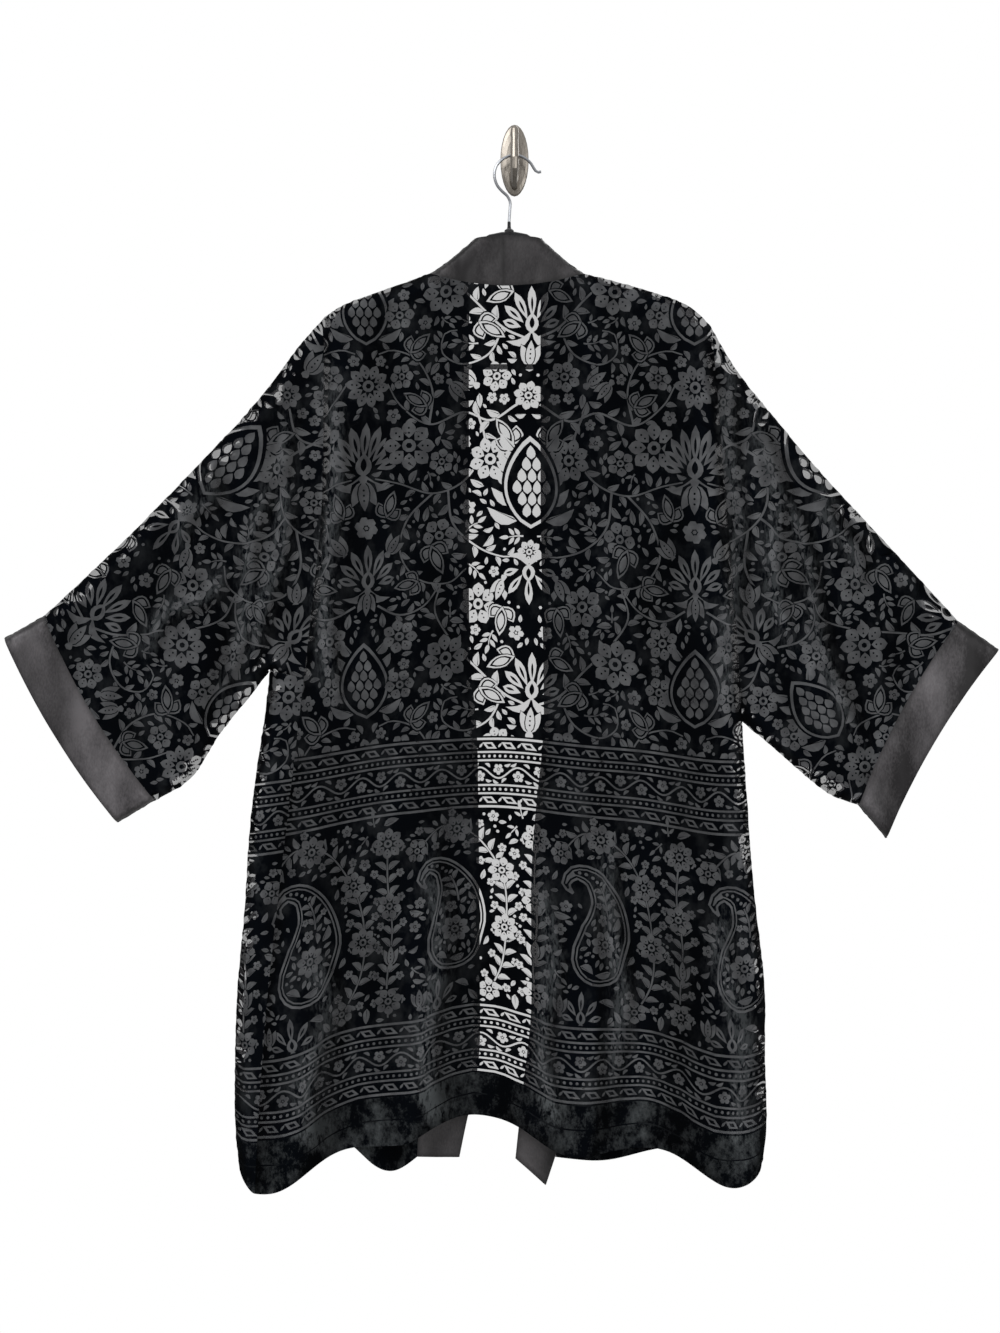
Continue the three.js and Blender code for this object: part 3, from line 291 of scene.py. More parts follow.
class Room:
    """Which millimetres of a repeat are taken, so that fillings keep apart."""

    def __init__(self, width, height):
        self.width, self.height = width, height
        self.taken = np.zeros((height, width), bool)

    def cells(self, points):
        """The (u, v) of the millimetres within an outline."""
        low = np.floor(points.min(0)).astype(int)
        high = np.ceil(points.max(0)).astype(int)
        grid = np.meshgrid(np.arange(low[0], high[0] + 1), np.arange(low[1], high[1] + 1))
        grid = np.stack(grid, -1).reshape(-1, 2)
        u, v = grid[inside(points, grid)].T
        return u, v % self.height

    def take(self, shapes):
        for points, _ in shapes:
            u, v = self.cells(points)
            fits = (u >= 0) & (u < self.width)
            self.taken[v[fits], u[fits]] = True

    def free(self, shapes):
        """Whether the sheer shapes have room, with pile round each."""
        for points, kind in shapes:
            if kind == PILE:
                continue
            middle = points.mean(0)
            reach = np.linalg.norm(points - middle, axis=1).max()
            u, v = self.cells(middle + (points - middle) * (1 + FILLING_MARGIN / reach))
            if len(u) and (u.min() < 2 or u.max() > self.width - 3 or self.taken[v, u].any()):
                return False
        return True

    def fill(self, rng, makers, tries):
        """Fillings of made shapes where there is room."""
        found = []
        for _ in range(tries):
            at = rng.uniform((4, 0), (self.width - 4, self.height))
            if self.taken[int(at[1]) % self.height, int(at[0])]:
                continue
            shapes = moved(makers[rng.integers(len(makers))](rng), at)
            if self.free(shapes):
                self.take(shapes)
                found += shapes
        return found


def sprig(rng, length, leaves, size):
    """A small curved stem with leaf pairs and a leaf at its end."""
    way = rng.uniform(0, tau)
    bend = rng.uniform(-0.5, 0.5)
    t = np.linspace(0, 1, 6)
    curve = turned(np.stack([t * length, bend * length * t * (1 - t)], 1), way)
    shapes = [(ribbon(curve, 1.9, 0.5), SHEER)]
    for k in range(leaves):
        at = curve[min(1 + k * 2, 4)]
        for side in (-1, 1):
            turn = way + side * 0.9
            shapes.append((turned(leaf(size, size * 0.42), turn, at + spoke(1.4, turn)), SHEER))
    shapes.append((turned(leaf(size * 1.1, size * 0.45), way, curve[-1]), SHEER))
    return shapes


# Makers of fillings, from large to small
FILLINGS = (
    (lambda rng: sprig(rng, 17, 2, 10.5), lambda rng: blossom(9.0, 5, rng.uniform(0, 6))),
    (lambda rng: veined_leaf(17, 7.6, rng.uniform(0, tau), rng.uniform(-0.4, 0.4)),
     lambda rng: blossom(6.8, 5, rng.uniform(0, 6)), lambda rng: sprig(rng, 11, 1, 8.5)),
    (lambda rng: veined_leaf(12, 5.4, rng.uniform(0, tau), rng.uniform(-0.4, 0.4)),
     lambda rng: veined_leaf(9, 4.4, rng.uniform(0, tau))),
    (lambda rng: [(turned(leaf(6.6, 3.4), rng.uniform(0, tau)), SHEER)],
     lambda rng: [(disc(1.9, sides=6), SHEER)]),
)


def lily(size, angle=0.0):
    """A leaf of three pointed lobes, each with a pile outline inside its edge."""
    shapes = []
    for way, length in ((-0.75, 0.62), (0.75, 0.62), (0, 1.0)):
        lobe = leaf(size * length, size * 0.4, 0.95, bend=0.25 * way)
        middle = (size * length * 0.5, 0)
        shapes.append((turned(lobe * (1.06, 1.2) - (1, 0), way), PILE))
        for scale, kind in ((1, SHEER), (0.78, PILE), (0.58, SHEER)):
            shapes.append((turned((lobe - middle) * scale + middle, way), kind))
    return rotated(shapes, angle)


def floral_repeat():
    """One repeat of the flowers: (axis shapes, shapes that are mirrored too)."""
    rng = np.random.default_rng(5)
    down = pi / 2
    axis = placed(
        (palmette(52, 7, -down), (0, 66)), (tulip(30, -down), (0, 108)),
        (daisy(17, 8, 0.2, 1), (0, 140)), (artichoke(104, -down), (0, 290)),
        (daisy(14, 8, 0.1, 1), (0, 316)), (palmette(44, 5, down), (0, 332)))
    axis += moved(placed(
        (artichoke(84, -down), (0, 82)), (daisy(25, 10, 0.1), (0, 128)), (palmette(58, 9, -down), (0, 226)),
        (tulip(34, down), (0, 232)), (blossom(13, 6, 0.3), (0, 286)), (palmette(48, 7, -down), (0, 352)),
        (tulip(26, down), (0, 356))), (HALF_REPEAT, 0))
    half = []
    for points, width, every, size, flip in (
            # points of a stem, its width, how far apart its leaves are, their size, side of the first
            ([(8, 74), (34, 62), (62, 34), (92, 4), (112, -30), (104, -62)], 2.7, 15, 19, 1),
            ([(12, 150), (44, 168), (78, 158), (118, 172), (150, 150), (166, 126)], 2.7, 15, 19, -1),
            ([(60, 160), (52, 196), (76, 236), (112, 250), (152, 238), (176, 232)], 2.7, 15, 18, 1),
            ([(94, 246), (86, 286), (60, 312), (30, 322), (12, 318)], 2.7, 14, 17, -1),
            ([(112, 250), (142, 280), (150, 316), (128, 346), (96, 352), (74, 336)], 2.5, 14, 16, 1),
            ([(118, 172), (112, 132), (128, 100), (158, 88), (176, 92)], 2.5, 14, 16, 1),
            ([(34, 62), (48, 92), (76, 104), (98, 92), (96, 70), (82, 66)], 2.4, 13, 14, -1),
            ([(176, 372), (150, 384), (124, 376), (104, 352)], 2.4, 13, 14, 1)):
        half += leafy(smooth(points), width, every, size, flip)
    half += placed(
        (daisy(27, 8, 0.15), (98, 22)), (daisy(25, 8, 0.3), (46, 212)), (daisy(28, 8, 0.0), (140, 196)),
        (daisy(24, 7, 0.2), (60, 376)), (daisy(20, 6, 0.2), (102, 298)), (daisy(18, 7, 0.5), (38, 118)),
        (daisy(17, 6, 0.1), (150, 48)), (daisy(19, 7, 0.4), (150, 408)), (tulip(27, -0.6), (62, 128)),
        (tulip(25, 2.3), (92, 124)), (tulip(26, 1.2), (28, 346)), (tulip(25, -2.2), (166, 316)),
        (daisy(15, 6, 0.1, 1), (148, 118)), (daisy(15, 6, 0.4, 1), (104, 214)),
        (lily(34, 0.4), (20, 20)), (lily(34, -2.4), (138, 92)), (lily(36, 1.9), (112, 308)),
        (lily(32, -0.5), (118, 152)), (lily(34, 2.6), (60, 56)), (lily(36, -1.0), (18, 196)),
        (lily(30, 0.2), (128, 348)), (lily(34, 1.4), (30, 378)), (lily(32, -1.9), (166, 276)))
    room = Room(HALF_REPEAT + 1, FLORAL_REPEAT)
    room.take(axis)
    room.take(half)
    for makers, tries in zip(FILLINGS, (900, 1500, 1800, 700)):
        half += room.fill(rng, makers, tries)
    return axis, half


def band(u_from, u_to, v, height, kind):
    """A straight strip across the cloth."""
    u = np.arange(u_from, u_to + 0.1, 6.0)
    lower = np.stack([u, np.full(len(u), v)], 1)
    upper = np.stack([u[::-1], np.full(len(u), v + height)], 1)
    return (np.concatenate([lower, upper]), kind)


def steps(start, end, pitch):
    """The multiples of a pitch within a stretch."""
    return range(ceil(start / pitch), floor(end / pitch) + 1)


def border(u_from, u_to, v):
    """Lines, lozenges and dots above and below a flowering vine."""
    shapes = [band(u_from, u_to, v - BORDER_EDGE, BORDER_HEIGHT + 2 * BORDER_EDGE, PILE)]
    for line, height in ((0, 2.6), (15, 2.2), (24.4, 2.2), (52.4, 2.2), (61.8, 2.2), (76.4, 2.6)):
        shapes.append(band(u_from, u_to, v + line, height, SHEER))
    pitch = 23.0
    lozenge = np.array([(-9, -3.6), (3, -3.6), (9, 3.6), (-3, 3.6)])
    for k in steps(u_from, u_to, pitch):
        for row in (8.8, 70.2):
            at = (k * pitch, v + row)
            between = turned(leaf(6.5, 2.6), -0.9, (k * pitch + 10.5, v + row + 2.2))
            shapes += [(lozenge + at, SHEER), (lozenge * 0.48 + at, PILE), (between, SHEER)]
    dot_pitch = pitch / 3.5
    for k in steps(u_from, u_to, dot_pitch):
        for row in (20.8, 58.2):
            shapes.append((disc(1.75, (k * dot_pitch, v + row), 6), SHEER))
    wave = 2 * pitch
    u = np.arange(u_from, u_to, 3.4)
    vine = np.stack([u, v + 39.5 + 6.2 * np.sin(u / wave * tau)], 1)
    shapes.append((ribbon(vine, 1.9), SHEER))
    for k in steps(u_from, u_to, wave):
        at = k * wave
        shapes += moved(blossom(6.6, 5, 0.3), (at + wave * 0.25, v + 35.6))
        shapes += moved(blossom(6.6, 5, 0.9), (at + wave * 0.75, v + 43.4))
        for away, row, way in (
                (0.03, 33.5, -2.6), (0.1, 47.5, 0.5), (0.46, 45.8, 2.4), (0.56, 32, -0.5),
                (0.4, 31.5, -0.3), (0.9, 47.2, 0.2)):
            shapes.append((turned(leaf(8.2, 3.4, 0.8, 0.3), way, (at + wave * away, v + row)), SHEER))
    return shapes


def paisley(size):
    """A curled teardrop with two outlines: (shapes, the middle line inside it)."""
    spine = smooth([(0, 0.18), (0.07, -0.08), (0.05, -0.32), (-0.07, -0.5), (-0.22, -0.53), (-0.3, -0.43),
                    (-0.24, -0.35)], 0.045) * size
    widths = ((0, 0.26), (0.2, 0.25), (0.45, 0.17), (0.65, 0.1), (0.8, 0.065), (0.92, 0.04), (1, 0.012))
    half = np.interp(np.linspace(0, 1, len(spine)), *zip(*widths)) * size
    across = crossways(spine)
    start = atan2(across[0, 1], across[0, 0])

    def outline(inset):
        keep = half > inset + 0.5
        wide = across[keep] * (half[keep] - inset)[:, None]
        turn = start + np.arange(0.3, 2.9, 0.3)
        cap = spine[0] + (half[0] - inset) * np.stack([np.cos(turn), np.sin(turn)], 1)
        return np.concatenate([spine[keep] - wide, (spine[keep] + wide)[::-1], cap])

    kinds = ((-3.0, PILE), (0, SHEER), (2.6, PILE), (4.6, SHEER), (6.2, PILE))
    return [(outline(inset), kind) for inset, kind in kinds], spine


def wreath(curve, size, every):
    """A thin stem with leaf pairs, and a pair of small flowers at every other one."""
    shapes = [(ribbon(curve, 1.8), SHEER)]
    run = run_along(curve)
    for count, at in enumerate(np.arange(every / 2, run[-1], every)):
        place, way = place_on(curve, run, at)
        for side in (-1, 1):
            turn = way + side * 0.95
            shapes += moved(veined_leaf(size, size * 0.44, turn, -0.3 * side), place + spoke(1.7, turn))
        if count % 2:
            for side in (-1, 1):
                turn = way + side * 1.75
                shapes += moved(blossom(size * 0.34, 5, turn), place + spoke(size, turn) * 0.95)
    return shapes


def paisley_repeat():
    """One repeat of the paisleys, the flowering branches round them and the columns between."""
    rng = np.random.default_rng(11)
    drop, middle = paisley(124)
    at = (58, 122)
    branch = [(98, 208), (117, 168), (121, 118), (112, 68), (84, 26), (46, 12), (18, 34)]
    shapes = wreath(smooth(branch), 15, 15)
    shapes += placed(
        (daisy(17, 8, 0.2, 1), (62, 17)), (daisy(15, 7, 0.4, 1), (112, 64)),
        (daisy(16, 8, 0.0, 1), (119, 128)), (daisy(13, 6, 0.5, 1), (100, 202)),
        (daisy(13, 6, 0.1, 1), (16, 36)), (drop, at))
    filling = wreath(middle[7:-9] + at, 12, 10) + moved(daisy(16, 8, 0.2, 1), middle[2] + at)
    for way in (0.5, 1.2, 1.9, 2.6, 3.6, -0.5):
        filling.append((turned(leaf(9, 4), way) + middle[2] + at + spoke(17.5, way), SHEER))
    filling += [(disc(2.0, middle[k] + at, 6), SHEER) for k in range(-9, -5)]
    within_drop = Room(PAISLEY_REPEAT + 1, PAISLEY_HEIGHT)
    within_drop.taken[:] = True
    u, v = within_drop.cells(drop[-1][0] + at)
    within_drop.taken[v, u] = False
    within_drop.take(filling)
    for makers, tries in zip(FILLINGS[1:], (3000, 3000, 3000)):
        filling += within_drop.fill(rng, makers, tries)
    shapes += filling
    shapes += wreath(smooth([(152, 214), (150, 170), (154, 120), (150, 70), (152, 22)]), 15, 14)
    shapes += placed(
        (daisy(17, 8, 0.1), (152, 24)), (daisy(15, 7, 0.3, 1), (151, 92)),
        (tulip(22, -pi / 2), (153, 158)), (daisy(15, 7, 0.6, 1), (152, 196)),
        (palmette(34, 5, -pi / 2), (40, 216)), (tulip(20, -pi / 2), (16, 208)))
    room = Room(PAISLEY_REPEAT + 1, PAISLEY_HEIGHT)
    room.take(shapes)
    for makers, tries in zip(FILLINGS[1:], (260, 420, 420)):
        shapes += room.fill(rng, makers, tries)
    return shapes


def within(shapes, low, high):
    return [s for s in shapes if (s[0].max(0) > low).all() and (s[0].min(0) < high).all()]


def flowers(low, high):
    """Repeats of the flowers over a rectangle of cloth, from its low to its high corner."""
    axis, half = floral_repeat()
    whole = half + mirrored(half) + mirrored(half, HALF_REPEAT) + axis
    width = 2 * HALF_REPEAT
    first = floor((low[1] - FLORAL_REACH) / FLORAL_REPEAT)
    shapes = []
    for down in range(first, ceil(high[1] / FLORAL_REPEAT) + 1):
        for k in range(floor(low[0] / width) - 1, ceil(high[0] / width) + 2):
            shapes += moved(whole, (k * width, down * FLORAL_REPEAT))
    return within(shapes, low, high)


def bordered(u_from, u_to):
    """The whole pattern of the body: flowers, border, paisleys, border and plain hem."""
    shapes = flowers((u_from, -70), (u_to, UPPER_BORDER[0]))
    shapes.append(band(u_from, u_to, UPPER_BORDER[0] - BORDER_EDGE, 500, PILE))
    shapes += border(u_from, u_to, UPPER_BORDER[0])
    repeat = paisley_repeat()
    paisleys = []
    for k in range(floor(u_from / PAISLEY_REPEAT) - 1, ceil(u_to / PAISLEY_REPEAT) + 1):
        paisleys += moved(repeat, (k * PAISLEY_REPEAT + 20, UPPER_BORDER[1] + 6))
    shapes += within(paisleys, (u_from, 0), (u_to, 1000))
    shapes += border(u_from, u_to, LOWER_BORDER[0])
    shapes.append(band(u_from, u_to, LOWER_BORDER[1] + BORDER_EDGE, 110, HEM))
    shapes.append(band(u_from, u_to, HEM_STITCHES, 1.6, PILE))
    return shapes


# Cloth surfaces, from the CAD model's own

def new_object(name, data):
    obj = bpy.data.objects.new(name, data)
    bpy.context.scene.collection.objects.link(obj)
    return obj


def skin_of(node, wall):
    """The outer skin of a CAD cloth wall, as quads: its rim goes, then its inner skin."""
    bm = bmesh.new()
    bm.from_mesh(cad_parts[node].data)
    bmesh.ops.remove_doubles(bm, verts=bm.verts, dist=1e-6)
    rim = [f for f in bm.faces if any(abs(e.calc_length() - wall) < 3e-5 for e in f.edges)]
    bmesh.ops.delete(bm, geom=rim, context="FACES")
    outer = {max(bm.faces, key=lambda f: max(abs(v.co.y - MIDDLE_Y) for v in f.verts))}
    near = outer
    while near:
        near = {g for f in near for e in f.edges for g in e.link_faces} - outer
        outer |= near
    bmesh.ops.delete(bm, geom=[f for f in bm.faces if f not in outer], context="FACES")
    bmesh.ops.join_triangles(
        bm, faces=bm.faces, angle_face_threshold=pi, angle_shape_threshold=pi,
        topology_influence=1.5)
    bmesh.ops.recalc_face_normals(bm, faces=bm.faces)
    outward = sum(f.normal.y * (f.calc_center_median().y - MIDDLE_Y) * f.calc_area() for f in bm.faces)
    if outward < 0:
        bmesh.ops.reverse_faces(bm, faces=bm.faces)
    return bm


def smooth_skin(node, wall):
    """The skin rounded by subdivision, as (points, faces, the y of each face's normal)."""
    bm = skin_of(node, wall)
    mesh = bpy.data.meshes.new("skin")
    bm.to_mesh(mesh)
    bm.free()
    obj = new_object("skin", mesh)
    modifier = obj.modifiers.new("smooth", "SUBSURF")
    modifier.levels = 3
    modifier.boundary_smooth = "PRESERVE_CORNERS"
    fine = bpy.data.meshes.new_from_object(obj.evaluated_get(bpy.context.evaluated_depsgraph_get()))
    points = np.array([v.co for v in fine.vertices], float)
    faces = [tuple(p.vertices) for p in fine.polygons]
    facing = np.array([p.normal.y for p in fine.polygons])
    bpy.data.objects.remove(obj)
    return points, faces, facing


def longest_loop(faces):
    """The outline of some faces: their edges that only one of them uses, in order."""
    edges = {pair for face in faces for pair in zip(face, face[1:] + face[:1])}
    after = {}
    for a, b in sorted(edges):
        if (b, a) not in edges:
            after.setdefault(a, []).append(b)
    loops = []
    while after:
        loop = [next(iter(after))]
        while loop[-1] in after:
            step = after[loop[-1]].pop()
            if not after[loop[-1]]:
                del after[loop[-1]]
            if step == loop[0]:
                break
            loop.append(step)
        loops.append(loop)
    return max(loops, key=len)


def area_within(points):
    """The signed area of an outline, positive where it runs against the clock."""
    x, z = points[:, 0], points[:, -1]
    return float(np.sum(x * np.roll(z, -1) - np.roll(x, -1) * z)) / 2


class Side:
    """One side of a piece of cloth: what faces the camera, or what faces the wall."""

    def __init__(self, skin, way, cell):
        self.points, faces, facing = skin
        self.way = way
        self.faces = [face for face, y in zip(faces, facing) if y * way > 0]
        self.tree = BVHTree.FromPolygons([tuple(p) for p in self.points], self.faces)
        self.outline = self.points[longest_loop(self.faces)]
        if area_within(self.outline) < 0:
            self.outline = self.outline[::-1]
        self.outline = self.outline + self.outgrowth()
        kept = {}
        for i in sorted({i for face in self.faces for i in face}):
            kept.setdefault(tuple(np.floor(self.points[i] / cell).astype(int)), i)
        self.inner = self.points[sorted(kept.values())]

    def outgrowth(self):
        """How far each point of the outline moves out, to close the seams and for the nap's crinkles."""
        along = np.roll(self.outline, -1, 0) - np.roll(self.outline, 1, 0)
        outward = along[:, [2, 1, 0]] * (1, 0, -1)
        outward /= np.linalg.norm(outward, axis=1)[:, None]
        crinkle = [abs(cloth_noise(p[0], p[2], 110, 110, 7.0)) for p in self.outline]
        turns = abs(self.outline[:, 1] - MIDDLE_Y) < TURNED
        return outward * (SEAM_CLOSING + turns * crinkle * CRINKLE)[:, None]

    def lift(self, x, z):
        """The y of the side at a place."""
        hit = self.tree.ray_cast(Vector((x, self.way, z)), Vector((0, -self.way, 0)))[0]
        if hit is None:
            hit = self.tree.find_nearest(Vector((x, MIDDLE_Y, z)))[0]
        return hit.y

    def fold(self, x, y, z):
        """Painted shade: from 0 in a trough to 1 on a ridge, against the cloth around."""
        around = []
        for turn in range(6):
            way = turn * tau / 6
            start = Vector((x + FOLD_REACH * cos(way), self.way, z + FOLD_REACH * sin(way)))
            hit = self.tree.ray_cast(start, Vector((0, -self.way, 0)))[0]
            if hit:
                around.append(hit.y)
        stands_out = (y - sum(around) / len(around)) * self.way if around else 0.0
        return min(1.0, max(0.0, 0.5 + stands_out / FOLD_DEPTH))


def from_fold(points, start, end, reach):
    """Places against a fold line: (distance across it over its reach, strength along it, way across)."""
    along = np.subtract(end, start)
    length = np.linalg.norm(along)
    along = along / length
    across = np.array([-along[1], along[0]])
    away = (points - start) @ across / reach
    run = (points - start) @ along / length
    sway = 0.9 * np.sin(run * 9 + start[0] * 50)
    return away + sway, np.clip(5 * run, 0, 1) * np.clip(5 * (1 - run), 0, 1), across


def folds_at(points):
    """At each place: how high the folds stand, their painted highlight on the ridge and painted shadow beside
    it, how crushed they leave its pile.
    """
    height, light, crushed = np.zeros((3, len(points)))
    for start, end, reach, top in FOLDS:
        away, strength, _ = from_fold(points, start, end, reach)
        ridge = strength * np.exp(-away**2)
        height += top * ridge
        # painted highlight on the ridge and painted shadow to one side of it
        light += 0.45 * ridge - 0.6 * strength * np.exp(-((away - 1.7) / 0.8) ** 2)
        # crushed pile along the folds, which the pile shows as painted sheen streaks
        crushed = np.maximum(crushed, strength * np.exp(-((away - 0.3) / 1.5) ** 2))
    return np.stack([height, light, crushed])


def drawn_in(points):
    """Pattern points drawn in by the folds, which take cloth up."""
    placed = points.copy()
    for start, end, reach, _ in FOLDS:
        away, strength, across = from_fold(points, start, end, reach)
        pull = TAKEN_UP * strength * np.tanh(away) * np.exp(-(away / 2.6) ** 2)
        placed -= pull[:, None] * across
    return placed


def flat_tree(points):
    """A tree that finds the nearest of some points as seen from the camera."""
    tree = kdtree.KDTree(len(points))
    for i, p in enumerate(points):
        tree.insert((p[0], 0, p[2]), i)
    tree.balance()
    return tree


def cloth_noise(x, z, across, down, layer):
    """Smooth noise over the cloth, with its waves to a metre across and down."""
    return noise.noise(Vector((x * across, layer, z * down)))


def eased(y):
    """From 0 where the cloth turns over at its edges to 1 away from them."""
    return min(1.0, abs(y - MIDDLE_Y) / EASED)


def ripple(x, y, z):
    """How far the cloth's small waves stand out."""
    waves = LONG_WAVE * cloth_noise(x, z, 30, 9, 0.3) + SHORT_WAVE * cloth_noise(x, z, 95, 60, 4.0)
    return eased(y) * waves


def painted(verts, faces, claims, outlines, kinds):
    """The kind of each face: that of the last shape that holds it. Long shapes are looked up anew."""
    middles = np.array([[sum(verts[i][axis] for i in face) / len(face) for axis in (0, 1)] for face in faces])
    of_shape = {}
    for number, ids in enumerate(claims):
        for k in ids:
            of_shape.setdefault(k, []).append(number)
    kind = np.full(len(faces), kinds[0])
    for k, outline in enumerate(outlines):
        numbers = np.array(of_shape.get(k, []), int)
        if k and len(outline) > LONG_SHAPE:
            numbers = np.flatnonzero(((middles > outline.min(0)) & (middles < outline.max(0))).all(1))
        kind[numbers[inside(outline, middles[numbers])]] = kinds[k]
    return kind.tolist()


def net(side, shapes):
    """A side cut along its outline and pattern: (points, triangles with kinds, painted shade, how crushed).
    """
    parts = [side.outline[:, ::2], side.inner[:, ::2]]
    shapes = within(shapes, side.outline.min(0)[::2], side.outline.max(0)[::2])
    rings = [list(range(len(side.outline)))]
    kinds = [PILE]
    outlines = [parts[0]]
    count = len(side.outline) + len(side.inner)
    for points, kind in shapes:
        parts.append(points if area_within(points) > 0 else points[::-1])
        rings.append(list(range(count, count + len(points))))
        kinds.append(kind)
        outlines.append(points)
        count += len(points)
    flat = [Vector(p) for p in np.concatenate(parts)]
    verts, _, faces, origins, _, claims = delaunay_2d_cdt(flat, [], rings, 1, 1e-6, True)
    found = painted(verts, faces, claims, outlines, kinds)
    kept = [(face, kind) for face, kind, ids in zip(faces, found, claims) if 0 in ids]
    known = np.concatenate([side.outline, side.inner])
    height, light, crush = folds_at(np.array([tuple(v) for v in verts])) * bool(shapes)
    rim = flat_tree(side.outline)
    fold_share = 1.0 if side.way == BACK else WALL_FOLDS
    places, painted_lightness = {}, {}
    for i in dict.fromkeys(i for face, _ in kept for i in face):
        given = [k for k in origins[i] if k < len(known)]
        x, z = verts[i]
        y = known[given[0]][1] if given else side.lift(x, z)
        wave = ripple(x, y, z)
        places[i] = (x, y + side.way * (wave + eased(y) * fold_share * height[i]), z)
        # painted shade: darker in troughs, lighter on ridges and ripples, with the folds' painted highlight
        # and shadow
        painted_lightness[i] = min(1.0, max(0.0, side.fold(x, y, z) + wave / RIPPLE_SHADE + light[i]))
        # painted shade along the satin's seams and edges
        if not shapes:
            painted_lightness[i] *= min(1.0, rim.find((x, 0, z))[2] / SEWN)
    return places, kept, painted_lightness, crush


# Mapping of the flat pattern onto the robe

TOP_Z = -0.135  # where v is 0
BODY_LENGTH = 0.966  # from there to the hem at the middle
AXIS_X = 0.018  # the flowers' mirror axis
WRAP_DROP = 0.045  # how much lower the pattern starts on the front that wraps round to the back
PULL = 0.0028  # how far the hanging cloth pulls its pattern out of line
HEM_STEP = 0.012


def hem_line(sides):
    """The lowest points of some sides, in steps across: (x of each, z of each)."""
    points = np.concatenate([side.outline for side in sides])
    x = points[:, 0]
    at = [step for step in np.arange(x.min(), x.max(), HEM_STEP) if (abs(x - step) < HEM_STEP).any()]
    return at, [points[abs(x - step) < HEM_STEP, 2].min() for step in at]


def mapped(shapes, place):
    """The shapes with all of their points put in place at once, and drawn in by the folds."""
    points = drawn_in(place(np.concatenate([points for points, _ in shapes])))
    ends = np.cumsum([len(points) for points, _ in shapes])[:-1]
    return list(zip(np.split(points, ends), [kind for _, kind in shapes]))


def on_body(shapes, hem, top_drop=0.0):
    """The body's pattern in place: its rows sink to the sides as the hem does, with its waves low down."""
    arch = np.polyfit(*hem, 4)

    def place(points):
        x = AXIS_X + points[:, 0] / 1000
        down = points[:, 1] / 1000
        down = down + top_drop * (1 - down / BODY_LENGTH)
        x = x + PULL * np.sin(down * 31 + x * 14) * np.cos(x * 37)
        down = down + PULL / 4 * np.sin(x * 43 + 1.3) * np.cos(down * 17)
        share = np.clip(down / BODY_LENGTH, 0, None)
        fall = TOP_Z - BODY_LENGTH - np.polyval(arch, np.clip(x, hem[0][0], hem[0][-1]))
        wave = TOP_Z - BODY_LENGTH - np.interp(x, *hem) - fall
        return np.stack([x, TOP_Z - down - fall * share**1.4 - wave * share**5], 1)

    return mapped(shapes, place)


def on_sleeve(shapes, start, lean):
    """The sleeve's pattern in place, from the shoulder down the sleeve's own length."""
    return mapped(shapes, lambda points: turned(points * (0.001, -0.001), lean, start))


def cloth(name, sides, patterns, is_open=None):
    """A piece of cloth from its sides, joined where they meet. Its slots are pile, sheer, hem and open."""
    bm = bmesh.new()
    fold = bm.verts.layers.float.new("fold")
    crushed = bm.verts.layers.float.new("crush")
    for side, shapes in zip(sides, patterns):
        places, faces, painted_lightness, crush = net(side, shapes)
        made = {i: bm.verts.new(p) for i, p in places.items()}
        # the fold attribute holds the painted shade of troughs, ridges and seams
        for i, vert in made.items():
            vert[fold] = painted_lightness[i]
            vert[crushed] = crush[i]
        for face, kind in faces:
            corners = [made[i] for i in face]
            if side.way == WALL:
                corners.reverse()
            new = bm.faces.new(corners)
            new.smooth = True
            new.material_index = kind
            # ground where light comes through: painted glints along the edges, real see-through where nothing
            # is behind
            if kind == SHEER and is_open(new.calc_center_median()):
                new.material_index = OPEN
    bmesh.ops.remove_doubles(bm, verts=bm.verts, dist=2e-5)
    bmesh.ops.delete(bm, geom=[v for v in bm.verts if not v.link_faces], context="VERTS")
    mesh = bpy.data.meshes.new(name)
    bm.to_mesh(mesh)
    bm.free()
    return new_object(name, mesh)


OPEN_BODY, OPEN_SLEEVE = 0.007, 0.013  # how far in from the turned edges light comes through, as painted glints
OPEN_PATCHES = 0.018  # how much that varies
BACKED_STEPS = (-0.007, 0, 0.007)  # light also comes in this far round the edge of what is behind


def openness(edges, reach, behind=()):
    """Tells where light comes through: painted glints in patches along the edges, and where nothing is
    behind.
    """
    trees = [side.tree for side in behind]

    def backed(x, z):
        start = Vector((x, MIDDLE_Y, z))
        return any(tree.ray_cast(start, Vector((0, 1, 0)))[0] for tree in trees)

    def is_open(place):
        away = edges.find((place.x, 0, place.z))[2]
        if away < reach + OPEN_PATCHES * cloth_noise(place.x, place.z, 45, 45, 2.0):
            return True
        return bool(trees) and not all(backed(place.x + step, place.z) for step in BACKED_STEPS)

    return is_open


# Materials

def surface(name, color, roughness, more=()):
    """A new material and its shader, with more of the shader's values by name."""
    material = bpy.data.materials.new(name)
    material.use_nodes = True
    shader = material.node_tree.nodes["Principled BSDF"]
    values = {"Base Color": (*color, 1), "Roughness": roughness, **dict(more)}
    for socket, value in values.items():
        shader.inputs[socket].default_value = value
    return material, shader


def add(beside, kind, **values):
    """A new shader node in the tree of another node or socket."""
    node = beside.id_data.nodes.new("ShaderNode" + kind)
    for name, value in values.items():
        if name in node.inputs:
            node.inputs[name].default_value = value
        else:
            setattr(node, name, value)
    return node


def link(source, node, name):
    """Links an output to a node's input, by the input's name or number."""
    source.id_data.links.new(source, node.inputs[name])


def speckle(shader, scale, detail, stretch=(1, 1, 1), turn=0.0, roughness=0.5):
    """A noise in the object's own metres: its factor."""
    place = add(shader, "TexCoord")
    mapping = add(shader, "Mapping", Scale=stretch, Rotation=(0, turn, 0))
    texture = add(shader, "TexNoise", Scale=scale, Detail=detail, Roughness=roughness)
    link(place.outputs["Object"], mapping, "Vector")
    link(mapping.outputs["Vector"], texture, "Vector")
    return texture.outputs["Fac"]


